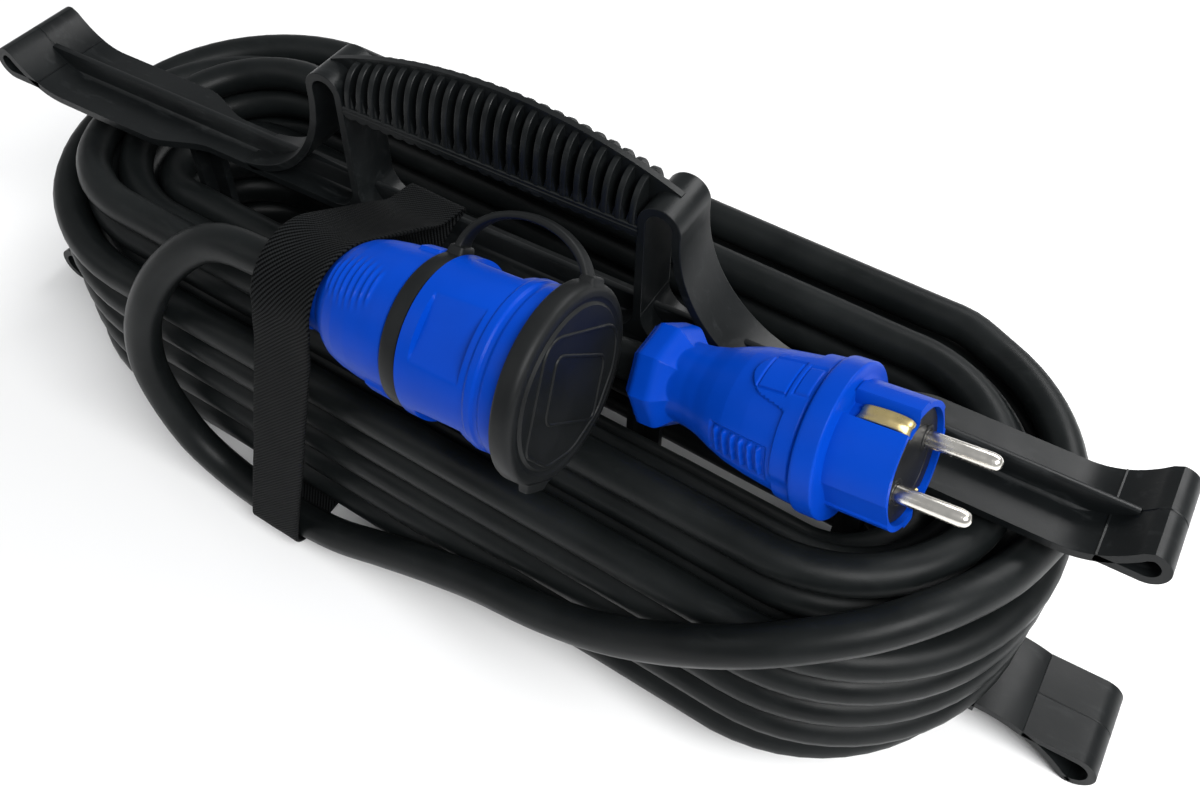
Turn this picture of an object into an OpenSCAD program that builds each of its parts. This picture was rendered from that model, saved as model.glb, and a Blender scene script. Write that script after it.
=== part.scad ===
// Shore power cord: 17.6 m of rubber cord wound on an H-shaped carrying frame with a
// ribbed grip, with a plug and a capped socket held on top by a webbing strap.
// Millimetres. The origin is on the ground under the middle of the frame, +X runs
// along the frame towards the plug, +Z is up.

/* [Cord] */
// Outside diameter of the rubber cord
cord_d = 12.6; // [10.5:0.1:13]
// Free air between one row of turns and the next
row_gap = 0.6; // [0.6:0.1:1.2]
// Free air between one column of turns and the next
column_gap = 0.45; // [0.45:0.05:1]
// Half the gap inside the innermost turns
bore_half = 21; // [20.6:0.1:22.4]

/* [Frame] */
// Half length of the winding core, out to where the bars widen
core_half = 143; // [118:1:172]
// Height of the bottom bar's upper face over the ground
stand_h = 16.3; // [14.5:0.1:20]
// Width of the bars, legs and grip
bar_w = 18.6; // [16:0.2:19]
// Width of the bars' tips
tip_w = 33; // [28:1:40]
// Wall thickness of the moulding
wall = 2.8; // [2.4:0.1:3.3]
// Height of the rib along each bar
web_h = 7.7; // [6:0.1:9]
// Thickness of the rib along each bar and along the grip
web_t = 2.6; // [2:0.1:3.2]
// How far the top bar's tips reach past the core
top_reach = 75; // [68:1:90]
// How far the bottom bar's tips reach past the core
bottom_reach = 93.6; // [84:0.2:110]

/* [Grip] */
// Half the clear length of the grip between its posts
grip_half = 52.6; // [46:0.2:60]
// Height of the grip's strip over the top bar
grip_rise = 43.9; // [38:0.1:53]
// Height of the grip's crown over its strip
crown_rise = 21.6; // [18:0.1:24]
// Number of ribs across the grip
rib_count = 21; // [15:2:23]
// Thickness of one rib
rib_t = 2; // [1.6:0.1:2.4]

/* [Strap] */
// Width of the webbing
strap_w = 22.5; // [18:0.5:24]
// Thickness of the webbing
strap_t = 1.4; // [1:0.1:1.6]

/* [Plug and socket] */
// Diameter of a contact pin
pin_d = 4.8; // [4:0.1:5]
// Distance between the two pins
pin_pitch = 19; // [17:0.5:20]
// Length of pin in front of the plug's rim
pin_reach = 19; // [17:0.5:22]
// Radial air between a pin and the sleeve that takes it
pin_air = 0.05; // [0.02:0.01:0.1]
// Diameter of the plug's front
plug_face_d = 36.4; // [36:0.1:38]
// Diameter of the plug's flange
plug_flange_d = 45.2; // [43:0.1:47]
// Inner diameter of the socket's recess
recess_d = 39; // [38.6:0.1:40]
// Depth of the socket's recess
recess_depth = 17.5; // [16:0.5:18.5]
// Diameter of the socket's lip
lip_d = 51.6; // [50:0.1:52]
// Radial air between the socket's lip and the cap's skirt
cap_air = 0.7; // [0.4:0.1:1]
// Wall of the cap's skirt
cap_wall = 3; // [2:0.1:3.2]
// Length of skirt that laps the lip, which is also how far the cap is pulled to free it
cap_lap = 2.6; // [2:0.1:3.4]

/* [Hidden] */

round_fn = 64;
fine_fn = 32;
moulding = [0.06, 0.06, 0.065];
rubber = [0.09, 0.09, 0.1];
blue = [0.02, 0.2, 0.75];
nickel = [0.75, 0.74, 0.7];
brass = [0.78, 0.66, 0.36];
webbing = [0.03, 0.03, 0.03];

// ---- Winding: four columns of turns, each turn a stadium in plan ----
cord_r = cord_d / 2;
rows = 7;
short_rows = 6;
columns = 4;
row_pitch = cord_d + row_gap;
outer_pitch = row_pitch + 1.4;
column_pitch = cord_d + column_gap;
coil_at = [-3.5, 7.2];
coil_yaw = -2.7;
coil_x = core_half - 15;
bottom_air = 0.5;
row_zero_z = stand_h + bottom_air + cord_r;
coil_top = row_zero_z + (rows - 1) * row_pitch + cord_r;
outer_radius = bore_half + cord_r + (columns - 1) * column_pitch;
outer_top_z = row_zero_z + (short_rows - 1) * outer_pitch;
inner_top_z = row_zero_z + (short_rows - 1) * row_pitch;

// ---- Frame levels ----
head_room = 3.1;
ceiling_z = coil_top + head_room;
top_z = ceiling_z + wall;
strip_z = top_z + grip_rise;
hump_r = 7;
hump_x = grip_half + hump_r;
hump_z = strip_z + 2.6;
leg_turn_z = hump_z - 1.5;
leg_r = leg_turn_z - top_z;
crown_half = 62;
crown_end_z = strip_z + 9.6;
foot_r = 10;
tip_r = 6.3;
foot_tip_r = 8.2;
foot_land = 0.3;

// ---- Where the socket and the plug lie: rear centre, pitch and yaw ----
socket_at = [-52.4, -54.5, coil_top + 22.3];
socket_pitch = 4.4;
socket_yaw = -0.7;
plug_at = [69, -24.8, coil_top + 14];
plug_pitch = 11.3;
plug_yaw = -4.7;
plug_roll = 7.9;
socket_axis = axis_of(socket_pitch, socket_yaw);
plug_axis = axis_of(plug_pitch, plug_yaw);

function axis_of(pitch, yaw) = [cos(pitch) * cos(yaw), cos(pitch) * sin(yaw), sin(pitch)];

// ---- Socket stations along its axis, from the rear ----
collar_r = 16.6;
neck_r = 13.2;
gland_start = 10.6;
insert_start = 64;
cap_end = 112.3;
cap_plate = 4.2;
lip_front = cap_end - cap_plate - 0.3;
socket_face = lip_front - recess_depth;
skirt_start = lip_front - cap_lap;
lip_r = lip_d / 2;
recess_r = recess_d / 2;
skirt_bore_r = lip_r + cap_air;
cap_r = skirt_bore_r + cap_wall;
ring_start = 64.3;
ring_end = 70.2;
ring_groove_r = 21;
barrel_r = 24.3;
contact_r = 3.4;
contact_bore_r = pin_d / 2 + pin_air;

// ---- Plug stations along its axis, from the rear ----
plug_rim = 82.3;
plug_face = 80.8;
plug_insert_start = 54;
flange_start = 59;
flange_end = 66;
plug_insert_r = 16.3;
pin_shank_r = pin_d / 2 + 0.3;
pin_tail_r = 3.2;
cable_hole_r = cord_r + 0.1;

// ---- The winding's own axes: it lies askew on the frame and a little behind it ----
coil_along = [cos(coil_yaw), sin(coil_yaw)];
coil_across = [-sin(coil_yaw), cos(coil_yaw)];

// From the winding's axes to the frame's, and the other way for a point in plan
function on_coil(p) =
    let (q = coil_at + p[0] * coil_along + p[1] * coil_across) [q[0], q[1], p[2]];
function into_coil(q) = let (d = [q[0], q[1]] - coil_at) [d * coil_along, d * coil_across];

// ---- Routes of the free stretches, in the winding's axes ----
// Heights are over the coil's top. On the front, sideways places are from the line that
// the cord follows against the coil's outer face.
face_y = -outer_radius - cord_d - 0.8;
SOCKET_ROUTE = [
    [-69.6, 14.6, 17.6], [-80.6, 11.3, 9.6], [-90.2, 6.8, -1.6], [-97.4, 2.1, -15.2],
    [-102.8, -0.4, -30.3], [-105, -2, -48.9], [-101.8, -2, -67.3], [-93.1, -2, -83],
    [-80.9, -1.4, -92.5], [-64, -1.4, -96.8], [-45, -1.3, -96.4], [-24.6, -1.2, -92.8],
    [-2.7, -0.2, -84.6], [19.6, 0, -75], [42.6, -0.2, -66.2], [65.9, -1.4, -58.4],
    [88, -1.8, -48.4], [107.1, -1.5, -35.9], [124, 0, -23.4]
];
RIGHT_END_ROUTE = [
    [10.2, -75.4, -15.1], [22.8, -68.2, -9.9], [34.4, -59.3, -6.6], [44.4, -48.3, -4.4],
    [52.2, -36.4, -4.3], [58.3, -23.3, -6.2], [62.4, -8.2, -9.3], [64.6, 6.7, -11.6],
    [62.9, 21.2, -12.3], [56.9, 34.7, -12.5], [47.7, 46.7, -12.5], [36.6, 55.9, -12.5],
    [24.4, 61.9, -12.5]
];
// From the coil's last turn up to the plug; sideways places are from the inner column
PLUG_ROUTE = [
    [-37, -0.1, 0], [-23, -0.1, 0.6], [-9, -0.1, 3.2], [5, -0.2, 8.2], [19, -0.4, 14.7],
    [33, -0.7, 21.7], [46, -1, 27.2]
];

// ================= small helpers =================

// Points of an arc in a plane, from angle a0 to a1 in n steps
function arc(cx, cy, r, a0, a1, n) =
    [for (i = [0:n]) let (a = a0 + (a1 - a0) * i / n) [cx + r * cos(a), cy + r * sin(a)]];

function unit(v) = v / norm(v);

// Direction of a path at point i
function heading(p, i) = unit(p[min(i + 1, len(p) - 1)] - p[max(i - 1, 0)]);

// Rings of a tube along a path, and the tube as one closed polyhedron
module tube(path, radius, sides, phase = 0) {
    n = len(path);
    rings = [for (i = [0:n - 1])
        let (t = heading(path, i), s = unit(cross(t, [0, 0, 1])), u = cross(s, t))
        for (k = [0:sides - 1])
            let (a = phase + 360 * k / sides)
            path[i] + radius * (cos(a) * s + sin(a) * u)];
    walls = [for (i = [0:n - 2]) for (k = [0:sides - 1])
        let (a = i * sides + k, b = i * sides + (k + 1) % sides, c = a + sides, d = b + sides)
        each [[a, d, b], [a, c, d]]];
    first = [[for (k = [0:sides - 1]) k]];
    last = [[for (k = [sides - 1:-1:0]) (n - 1) * sides + k]];
    polyhedron(points = rings, faces = concat(walls, first, last), convexity = 10);
}

// A flat outline drawn in X and Z, as thick as w, centred on Y = 0
module along_y(w) {
    rotate([90, 0, 0])
        linear_extrude(height = w, center = true, convexity = 6)
            children();
}

module both_ends() {
    children();
    mirror([1, 0, 0]) children();
}

// Local Z runs along the socket or the plug from its rear; local -X is up
module on_socket() {
    translate(socket_at)
        rotate([0, 90 - socket_pitch, socket_yaw])
            children();
}

module on_plug() {
    translate(plug_at)
        rotate([0, 90 - plug_pitch, plug_yaw])
            rotate([0, 0, plug_roll])
                children();
}

// A solid of revolution from [station, radius] pairs of its outside
module turned(profile, fn = round_fn) {
    last = len(profile) - 1;
    outline = concat([[0, profile[0][0]]],
                     [for (q = profile) [q[1], q[0]]],
                     [[0, profile[last][0]]]);
    rotate_extrude($fn = fn) polygon(outline);
}

module rod(r, z0, z1, fn = fine_fn) {
    translate([0, 0, z0]) cylinder(r = r, h = z1 - z0, $fn = fn);
}

module block(size, at) {
    translate(at - size / 2) cube(size);
}

// ================= winding =================

// One turn has 24 steps: 5 round the right end, 2 along the back, 10 round the left
// end, 2 along the front and 5 more round the right end. The left end climbs a row,
// the right end moves a column, and both do it at a steady rate. The winding starts
// at the right end of the back and stops a little way along the front.
turn_steps = 24;
left_start = 7;
left_end = 17;
front_end = 19;
climbs = [short_rows - 1, rows - 1, rows - 1, short_rows - 1];

// How many left ends column c has seen when it is full
function climbs_before(c) = c <= 0 ? 0 : climbs_before(c - 1) + climbs[c - 1];

// The column that turn k belongs to while it goes round the left end
function column_of(k, c = 0) = k < climbs_before(c + 1) || c == columns - 1 ? c : column_of(k, c + 1);

function pitch_of(c) = c == 0 ? outer_pitch : row_pitch;

// Height of column c after it has made m of its climbs; even columns come down
function level(c, m) = row_zero_z + pitch_of(c) * (c % 2 == 0 ? climbs[c] - m : m);

function radius_of(c) = outer_radius - column_pitch * c;

function blend(a, b, f) = a + (b - a) * f;

// Point of the winding at step i
function coil_point(i) =
    let (
        k = floor(i / turn_steps),
        s = i % turn_steps,
        c = column_of(k),
        m = k - climbs_before(c),
        next = column_of(k + 1),
        before = column_of(max(k - 1, 0)),
        climbed = max(0, min(1, (s - left_start) / (left_end - left_start))),
        z = blend(level(c, m), level(c, m + 1), climbed),
        turned_in = s < 5 ? (s + 5) / 10 : (s - front_end) / 10,
        r = s < 5 ? blend(radius_of(before), radius_of(c), turned_in)
          : s > front_end ? blend(radius_of(c), radius_of(next), turned_in)
          : radius_of(c),
        a = s < 5 ? 18 * s
          : s > front_end ? 18 * (s - front_end) - 90
          : s < left_start ? 90
          : s <= left_end ? 90 + 18 * (s - left_start)
          : 270,
        x = s == 6 || s == 18 ? 0
          : s < 6 || s > 18 ? coil_x
          : -coil_x
    )
    [x + r * cos(a), r * sin(a), z];

back_start = 5;
last_step = turn_steps * (climbs_before(columns) - 1) + left_end;
COIL_PATH = [
    for (i = [back_start:last_step]) on_coil(coil_point(i)),
    on_coil(coil_point(last_step) + [1.2 * cord_d, 0, 0])
];
coil_steps = len(COIL_PATH) - 1;

// Distance from point p to the stretch from a to b
function to_stretch(p, a, b) =
    let (ab = b - a, f = max(0, min(1, (p - a) * ab / (ab * ab))))
    norm(p - a - ab * f);

// Least distance between turns, each point against the stretches of every later turn
coil_gap = min([for (i = [0:coil_steps - turn_steps + 2])
    for (j = [i + turn_steps - 2:turn_steps:coil_steps - 1])
        for (e = [0:3]) if (j + e < coil_steps)
            to_stretch(COIL_PATH[i], COIL_PATH[j + e], COIL_PATH[j + e + 1])]) - cord_d;
coil_length = sum([for (i = [1:coil_steps]) norm(COIL_PATH[i] - COIL_PATH[i - 1])]);
function sum(v, i = 0, total = 0) = i < len(v) ? sum(v, i + 1, total + v[i]) : total;
function path_length(p) = sum([for (i = [1:len(p) - 1]) norm(p[i] - p[i - 1])]);

SOCKET_PATH = concat(
    [socket_at, socket_at - cord_d * socket_axis],
    [for (p = SOCKET_ROUTE) on_coil([p[0], face_y + p[1], coil_top + p[2]])],
    [for (p = RIGHT_END_ROUTE) on_coil([coil_x + p[0], p[1], coil_top + p[2]])],
    [on_coil(coil_point(back_start) + [cord_d, 0, 0]), COIL_PATH[0]]
);
inner_y = -bore_half - cord_r;
coil_end = coil_point(last_step) + [1.2 * cord_d, 0, 0];
PLUG_PATH = concat(
    [for (x = [0:18:54]) on_coil(coil_end + [x, 0, 0])],
    [for (p = PLUG_ROUTE) on_coil([p[0], inner_y + p[1], coil_end[2] + p[2]])],
    [plug_at - cord_d * plug_axis, plug_at]
);
echo(coil_least_gap = coil_gap, turns = climbs_before(columns),
     cord_length = coil_length + path_length(SOCKET_PATH) + path_length(PLUG_PATH));

module cord_coil() {
    color(rubber) tube(COIL_PATH, cord_r, 6, 30);
}

module socket_lead() {
    color(rubber) tube(SOCKET_PATH, cord_r, 10);
}

module plug_lead() {
    color(rubber) tube(PLUG_PATH, cord_r, 10);
}

// ================= frame =================

// Plan of a bar: narrow along the core, with widened ends that taper to it
module bar_plan(end_x) {
    polygon([
        [0, bar_w / 2], [core_half - 11, bar_w / 2 + 0.5], [core_half - 6, 13],
        [core_half, tip_w / 2], [end_x, tip_w / 2], [end_x, -tip_w / 2],
        [core_half, -tip_w / 2], [core_half - 6, -13], [core_half - 11, -bar_w / 2 - 0.5],
        [0, -bar_w / 2]
    ]);
}

// Teardrop outline of the loop at a bar's tip: a round nose and a point behind it
module teardrop(r, length, inset) {
    hull() {
        circle(r = r - inset, $fn = fine_fn);
        translate([-length + 2 * inset, r - inset]) square(0.01);
    }
}

// The loop as a strip of the wall's thickness, bent round the teardrop
module tip_loop(r, length) {
    difference() {
        along_y(tip_w) teardrop(r, length, 0);
        along_y(tip_w + 2) teardrop(r, length, wall);
    }
}

module frame_top_bar() {
    tip_x = core_half + top_reach;
    color(moulding)
        both_ends() {
            translate([0, 0, ceiling_z])
                linear_extrude(height = wall) bar_plan(tip_x - 11);
            translate([0, -web_t / 2, top_z - 0.1])
                cube([tip_x - 12, web_t, web_h + 0.1]);
            // The loop stands on the plate's end
            translate([tip_x - tip_r, 0, top_z + tip_r])
                mirror([0, 0, 1]) tip_loop(tip_r, 13);
        }
}

module frame_bottom_bar() {
    tip_x = core_half + bottom_reach;
    color(moulding)
        both_ends()
            difference() {
                union() {
                    translate([0, 0, stand_h - wall])
                        linear_extrude(height = wall) bar_plan(tip_x - foot_tip_r);
                    translate([0, -web_t / 2, stand_h - wall - web_h])
                        cube([tip_x - 24, web_t, web_h + 0.1]);
                    // The loop hangs under the plate's end and is the foot
                    translate([tip_x - foot_tip_r, 0, foot_tip_r - foot_land])
                        tip_loop(foot_tip_r, 30);
                }
                // Flat land that the foot stands on
                translate([0, -tip_w, -1]) cube([tip_x, 2 * tip_w, 1]);
            }
}

// Quarter-round foot between a post and the plate it stands on
module foot(r) {
    difference() {
        square([r, r]);
        translate([r, r]) circle(r = r, $fn = round_fn);
    }
}

// Leg: up from the bar in a quarter sweep, over the hump and down the post
module frame_leg_right() {
    color(moulding)
        difference() {
            along_y(bar_w) {
                // Sweep from the bar to the upright
                intersection() {
                    difference() {
                        translate([hump_x + hump_r + leg_r, leg_turn_z])
                            circle(r = leg_r + wall, $fn = 128);
                        translate([hump_x + hump_r + leg_r, leg_turn_z])
                            circle(r = leg_r, $fn = 128);
                    }
                    translate([hump_x, top_z]) square([leg_r + hump_r, leg_turn_z - top_z]);
                }
                translate([hump_x + hump_r - wall, leg_turn_z - 0.05])
                    square([wall, hump_z - leg_turn_z + 0.1]);
                // Hump
                intersection() {
                    difference() {
                        translate([hump_x, hump_z]) circle(r = hump_r, $fn = round_fn);
                        translate([hump_x, hump_z]) circle(r = hump_r - wall, $fn = round_fn);
                    }
                    translate([hump_x - hump_r, hump_z]) square([2 * hump_r, hump_r]);
                }
                // Post and its feet
                translate([grip_half, top_z]) square([wall, hump_z - top_z + 0.05]);
                translate([grip_half + wall - 0.05, top_z]) foot(foot_r);
                translate([grip_half + 0.05, top_z]) mirror([1, 0]) foot(foot_r);
            }
            // Slot that the top bar's rib runs through
            translate([0, -web_t / 2, top_z - 1]) cube([200, web_t, web_h + 1]);
        }
}

module frame_leg_left() {
    mirror([1, 0, 0]) frame_leg_right();
}

// The grip's crown is an arc over the strip and the humps
crown_sag = strip_z + crown_rise - crown_end_z;
crown_r = (crown_half * crown_half + crown_sag * crown_sag) / (2 * crown_sag);

function crown_height(x) = sqrt(crown_r * crown_r - x * x) - crown_r + crown_rise;

module crown() {
    intersection() {
        translate([0, strip_z + crown_rise - crown_r]) circle(r = crown_r, $fn = 256);
        translate([-crown_half, strip_z - 0.1]) square([2 * crown_half, crown_rise + 1]);
    }
}

// One rib in Y and Z: an arch from the strip's edge over the crown's rib
module rib(height) {
    translate([-rib_t / 2, 0, strip_z])
        rotate([90, 0, 90])
            linear_extrude(height = rib_t)
                intersection() {
                    scale([bar_w / 2 / height, 1]) circle(r = height, $fn = round_fn);
                    translate([-bar_w / 2, -0.1]) square([bar_w, height + 1]);
                }
}

module frame_grip() {
    pitch = 2 * (grip_half - 2) / (rib_count - 1);
    color(moulding)
        difference() {
            union() {
                translate([-grip_half, -bar_w / 2, strip_z - 3])
                    cube([2 * grip_half, bar_w, 3]);
                along_y(web_t) crown();
                for (i = [0:rib_count - 1]) {
                    x = (i - (rib_count - 1) / 2) * pitch;
                    translate([x, 0, 0]) rib(crown_height(x) - 1);
                }
            }
            // Room for the humps and posts at both ends
            both_ends() {
                translate([hump_x, 0, hump_z])
                    rotate([90, 0, 0])
                        cylinder(r = hump_r + 0.05, h = 40, center = true, $fn = round_fn);
                translate([grip_half, -20, strip_z - 10])
                    cube([20, 40, 10 + hump_z - strip_z]);
            }
        }
}

// Upright between the bars, with a foot at each end and a stiffening rib
module upright(x, rib_side, width) {
    height = ceiling_z - stand_h;
    rib_x = rib_side > 0 ? x + wall - 0.05 : x - 6;
    color(moulding) {
        along_y(width) {
            translate([x, stand_h]) square([wall, height]);
            for (side = [0, 1]) {
                translate([x + wall / 2, stand_h + side * height])
                    mirror([0, side])
                        mirror([rib_side > 0 ? 0 : 1, 0])
                            translate([wall / 2 - 0.05, 0]) foot(8);
            }
        }
        translate([rib_x, -web_t / 2, stand_h])
            cube([6.05, web_t, height]);
    }
}

// The uprights at the ends of the core stand just inside the innermost turns. The left
// one sits closer, as the winding lies askew, and sets the place of both.
core_w = 13;
left_end_at = on_coil([-coil_x, 0, 0]);
core_x = -left_end_at[0] + sqrt(pow(bore_half - 0.4, 2) - pow(core_w / 2 + left_end_at[1], 2))
         - 0.8 - wall;

module frame_post_right() {
    upright(grip_half, 1, bar_w);
}

module frame_post_left() {
    mirror([1, 0, 0]) upright(grip_half, 1, bar_w);
}

module frame_core_right() {
    upright(core_x, -1, core_w);
}

module frame_core_left() {
    mirror([1, 0, 0]) upright(core_x, -1, core_w);
}

// ================= strap =================

// Closed band of webbing across the winding: folded over the top bar's rib, over the
// socket's neck, down the front, under the lead and the coil, and up inside the coil.
// It leans, so that it reaches the ground further from the plug than it leaves the neck.
strap_at = [-28.6, socket_at[1] - 0.4];
strap_lean = 0.226;
corner_r = cord_r + 0.4 + strap_t / 2;
lead_bend_r = corner_r + 1;
strap_x = into_coil(strap_at)[0];
neck_side = into_coil(strap_at)[1];
neck_z = socket_at[2] + 1.7;
bar_side = into_coil([strap_at[0], 0])[1];
edge_side = bar_side - bar_w / 2;
STRAP_LINE = concat(
    arc(bar_side + 0.4, top_z + web_h + 2.9, 1.6, -90, 81, 6),
    [[bar_side - 12, top_z + web_h + 6.2]],
    arc(neck_side, neck_z, neck_r + 4.8, 60, 175.5, 10),
    arc(face_y - 1.3, coil_top - 96.5, lead_bend_r, 175.5, 279, 9),
    arc(inner_y, row_zero_z, corner_r, 279, 360, 6),
    [[inner_y + corner_r, coil_top - 8]],
    [[edge_side - 1.7, ceiling_z + 0.5], [edge_side - 1.4, top_z + 1.2]],
    [[bar_side - 3.4, top_z + web_h + 1.1]]
);

// Sideways normal of a closed line at point i
function side_of(p, i) =
    let (n = len(p), d = unit(p[(i + 1) % n] - p[(i + n - 1) % n])) [d[1], -d[0]];

module strap() {
    n = len(STRAP_LINE);
    band = concat(
        [for (i = [0:n - 1]) STRAP_LINE[i] + side_of(STRAP_LINE, i) * strap_t / 2],
        [for (i = [0:n - 1]) STRAP_LINE[i] - side_of(STRAP_LINE, i) * strap_t / 2]
    );
    edges = [for (side = [-1, 1]) for (q = band) on_coil([
        strap_x + side * strap_w / 2
            + strap_lean * min(0, q[1] - neck_z), q[0], q[1]
    ])];
    // Outer face, inner face and the two edges
    faces = [for (i = [0:n - 1]) let (k = (i + 1) % n) each [
        [i, k, 2 * n + k, 2 * n + i], [n + k, n + i, 3 * n + i, 3 * n + k],
        [k, i, n + i], [k, n + i, n + k],
        [2 * n + i, 2 * n + k, 3 * n + i], [2 * n + k, 3 * n + k, 3 * n + i]
    ]];
    color(webbing) polyhedron(points = edges, faces = faces, convexity = 6);
}

// ================= shared plug and socket pieces =================

// Eight-sided collar round the cord's entry
module collar(r, length, lead_in) {
    rotate([0, 0, 22.5]) {
        cylinder(r1 = r - lead_in, r2 = r, h = lead_in, $fn = 8);
        translate([0, 0, lead_in]) cylinder(r = r, h = length - 2 * lead_in, $fn = 8);
        translate([0, 0, length - lead_in])
            cylinder(r1 = r, r2 = r - lead_in, h = lead_in, $fn = 8);
    }
}

// Stripped end of the cord: the sheath's end and its three cores
module cores(sheath_end, core_end) {
    core_r = 1.9;
    color(rubber) rod(cord_r, 0, sheath_end);
    for (q = [[0, -pin_pitch / 2, "brown"], [0, pin_pitch / 2, "blue"], [4.4, 0, "green"]])
        color(q[2])
            hull() {
                translate([q[0] * 0.6, q[1] * 0.32, sheath_end - 0.5])
                    cylinder(r = core_r, h = 1, $fn = 12);
                translate([q[0], q[1], core_end - 1])
                    cylinder(r = core_r, h = 1, $fn = 12);
            }
}

// Saddle that presses the sheath on to the insert's tongue
module saddle(z0, z1) {
    color(moulding)
        difference() {
            block([5, 25, z1 - z0], [-5.2, 0, (z0 + z1) / 2]);
            rod(cord_r + 0.05, z0 - 1, z1 + 1, round_fn);
            for (y = [-9.7, 9.7])
                translate([-10, y, (z0 + z1) / 2])
                    rotate([0, 90, 0]) cylinder(r = 1.6, h = 10, $fn = fine_fn);
        }
}

module saddle_screws(z) {
    color(nickel)
        for (y = [-9.7, 9.7])
            translate([0, y, z])
                rotate([0, 90, 0]) {
                    translate([0, 0, -7.7]) cylinder(r = 1.5, h = 12.7, $fn = fine_fn);
                    translate([0, 0, -9.7]) cylinder(r = 2.6, h = 2, $fn = fine_fn);
                }
}

// Tongue behind an insert: carries the saddle and its screws
module tongue(z0, z1) {
    difference() {
        block([5.4, 25, z1 - z0], [4.9, 0, (z0 + z1) / 2]);
        rod(cord_r + 0.05, z0 - 1, z1 + 1, round_fn);
        for (y = [-9.7, 9.7])
            translate([-1, y, z0 + 4.5])
                rotate([0, 90, 0]) cylinder(r = 1.55, h = 6.2, $fn = fine_fn);
    }
}

// ================= socket =================

SOCKET_OUTSIDE = [
    [gland_start + 2, 12.9], [gland_start + 8, neck_r], [26, neck_r], [30, 13.8], [35.2, 15], [38.2, 17.2], [40.6, 18.8], [44.4, 20],
    [50, 21], [58, 21.8], [ring_start - 0.2, 22.3],
    [ring_start, ring_groove_r], [ring_end, ring_groove_r], [ring_end + 0.2, barrel_r],
    [90, barrel_r + 0.4], [98, barrel_r + 0.9], [skirt_start - 1.4, lip_r], [lip_front, lip_r]
];
SOCKET_INSIDE = [
    [gland_start - 1, cable_hole_r], [21, cable_hole_r], [26, 9.2], [31, 11], [34, 12.4],
    [38, 15.2], [42, 17], [50, 18.6], [insert_start - 4, recess_r], [lip_front + 1, recess_r]
];

module socket_body() {
    color(blue)
        on_socket()
            difference() {
                union() {
                    turned(SOCKET_OUTSIDE);
                    translate([0, 0, gland_start]) collar(collar_r, 11.4, 2.4);
                }
                turned(SOCKET_INSIDE);
            }
}

module socket_insert() {
    color(moulding)
        on_socket()
            difference() {
                union() {
                    rod(recess_r - 0.1, insert_start, socket_face, round_fn);
                    tongue(41, insert_start + 0.05);
                }
                for (y = [-1, 1]) translate([0, y * pin_pitch / 2, 0]) {
                    rod(contact_r + 0.03, insert_start - 10, socket_face - 2);
                    rod(contact_bore_r + 0.15, insert_start, socket_face + 1);
                }
                rod(1.95, insert_start - 1, socket_face + 1);
                rod(3.6, socket_face - 3, socket_face + 1);
                // Side slots for the earth clips
                for (x = [-1, 1])
                    block([3.4, 8.4, 40], [x * (recess_r - 1.6), 0, socket_face - 19.9]);
            }
}

module socket_contacts() {
    color(brass)
        on_socket()
            for (y = [-1, 1])
                translate([0, y * pin_pitch / 2, 0])
                    difference() {
                        rod(contact_r, insert_start - 9, socket_face - 2);
                        rod(contact_bore_r, socket_face - 22, socket_face);
                        rod(2, insert_start - 10, insert_start - 3);
                        // Threaded side hole of the terminal screw
                        translate([0, 0, insert_start - 5])
                            rotate([0, 90, 0])
                                translate([0, 0, -5]) cylinder(r = 1.5, h = 5, $fn = fine_fn);
                    }
}

module socket_terminal_screws() {
    color(nickel)
        on_socket()
            for (y = [-1, 1])
                translate([0, y * pin_pitch / 2, insert_start - 5])
                    rotate([0, 90, 0])
                        translate([0, 0, -6.4]) {
                            cylinder(r = 1.45, h = 4.2, $fn = fine_fn);
                            translate([0, 0, -1.2]) cylinder(r = 2.4, h = 1.2, $fn = fine_fn);
                        }
}

// Sprung earth clip, bowed inwards where it meets the plug's earth contact
module earth_clip(z0, z1, r, bow) {
    half = (z1 - z0) / 2;
    translate([0, -3.5, 0])
        rotate([-90, 0, 0])
            linear_extrude(height = 7)
                polygon([
                    [r, -z0], [r - bow * 0.3, -z0 - half * 0.6], [r - bow, -z0 - half * 1.1],
                    [r - bow * 0.3, -z0 - half * 1.6], [r, -z1],
                    [r - 0.8, -z1], [r - bow * 0.3 - 0.8, -z0 - half * 1.6],
                    [r - bow - 0.8, -z0 - half * 1.1], [r - bow * 0.3 - 0.8, -z0 - half * 0.6],
                    [r - 0.8, -z0]
                ]);
}

module socket_earth_clips() {
    color(brass)
        on_socket()
            for (a = [0, 180])
                rotate([0, 0, a])
                    earth_clip(insert_start + 4, lip_front - 3, recess_r - 0.5, 1.4);
}

module socket_cord_clamp() {
    on_socket() saddle(42, 49);
}

module socket_clamp_screws() {
    on_socket() saddle_screws(45.5);
}

module socket_centre_screw() {
    color(nickel)
        on_socket() {
            rod(1.9, insert_start - 6, socket_face - 3);
            rod(3.4, socket_face - 3, socket_face - 1);
        }
}

module socket_cores() {
    on_socket() cores(51, insert_start - 9.5);
}

// ================= cap =================

tether_angle = 40;
tether_mid = (ring_start + ring_end) / 2;
tether_far = cap_end - cap_plate + 0.5;

module cap_ring() {
    color(rubber)
        on_socket()
            difference() {
                union() {
                    rod(ring_groove_r + 2.6, ring_start + 0.1, ring_end - 0.1, round_fn);
                    rotate([0, 0, 180 - tether_angle])
                        block([3, 7, 6], [ring_groove_r + 2.4, 0, tether_mid]);
                }
                rod(ring_groove_r, ring_start - 1, ring_end + 1, round_fn);
            }
}

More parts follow.
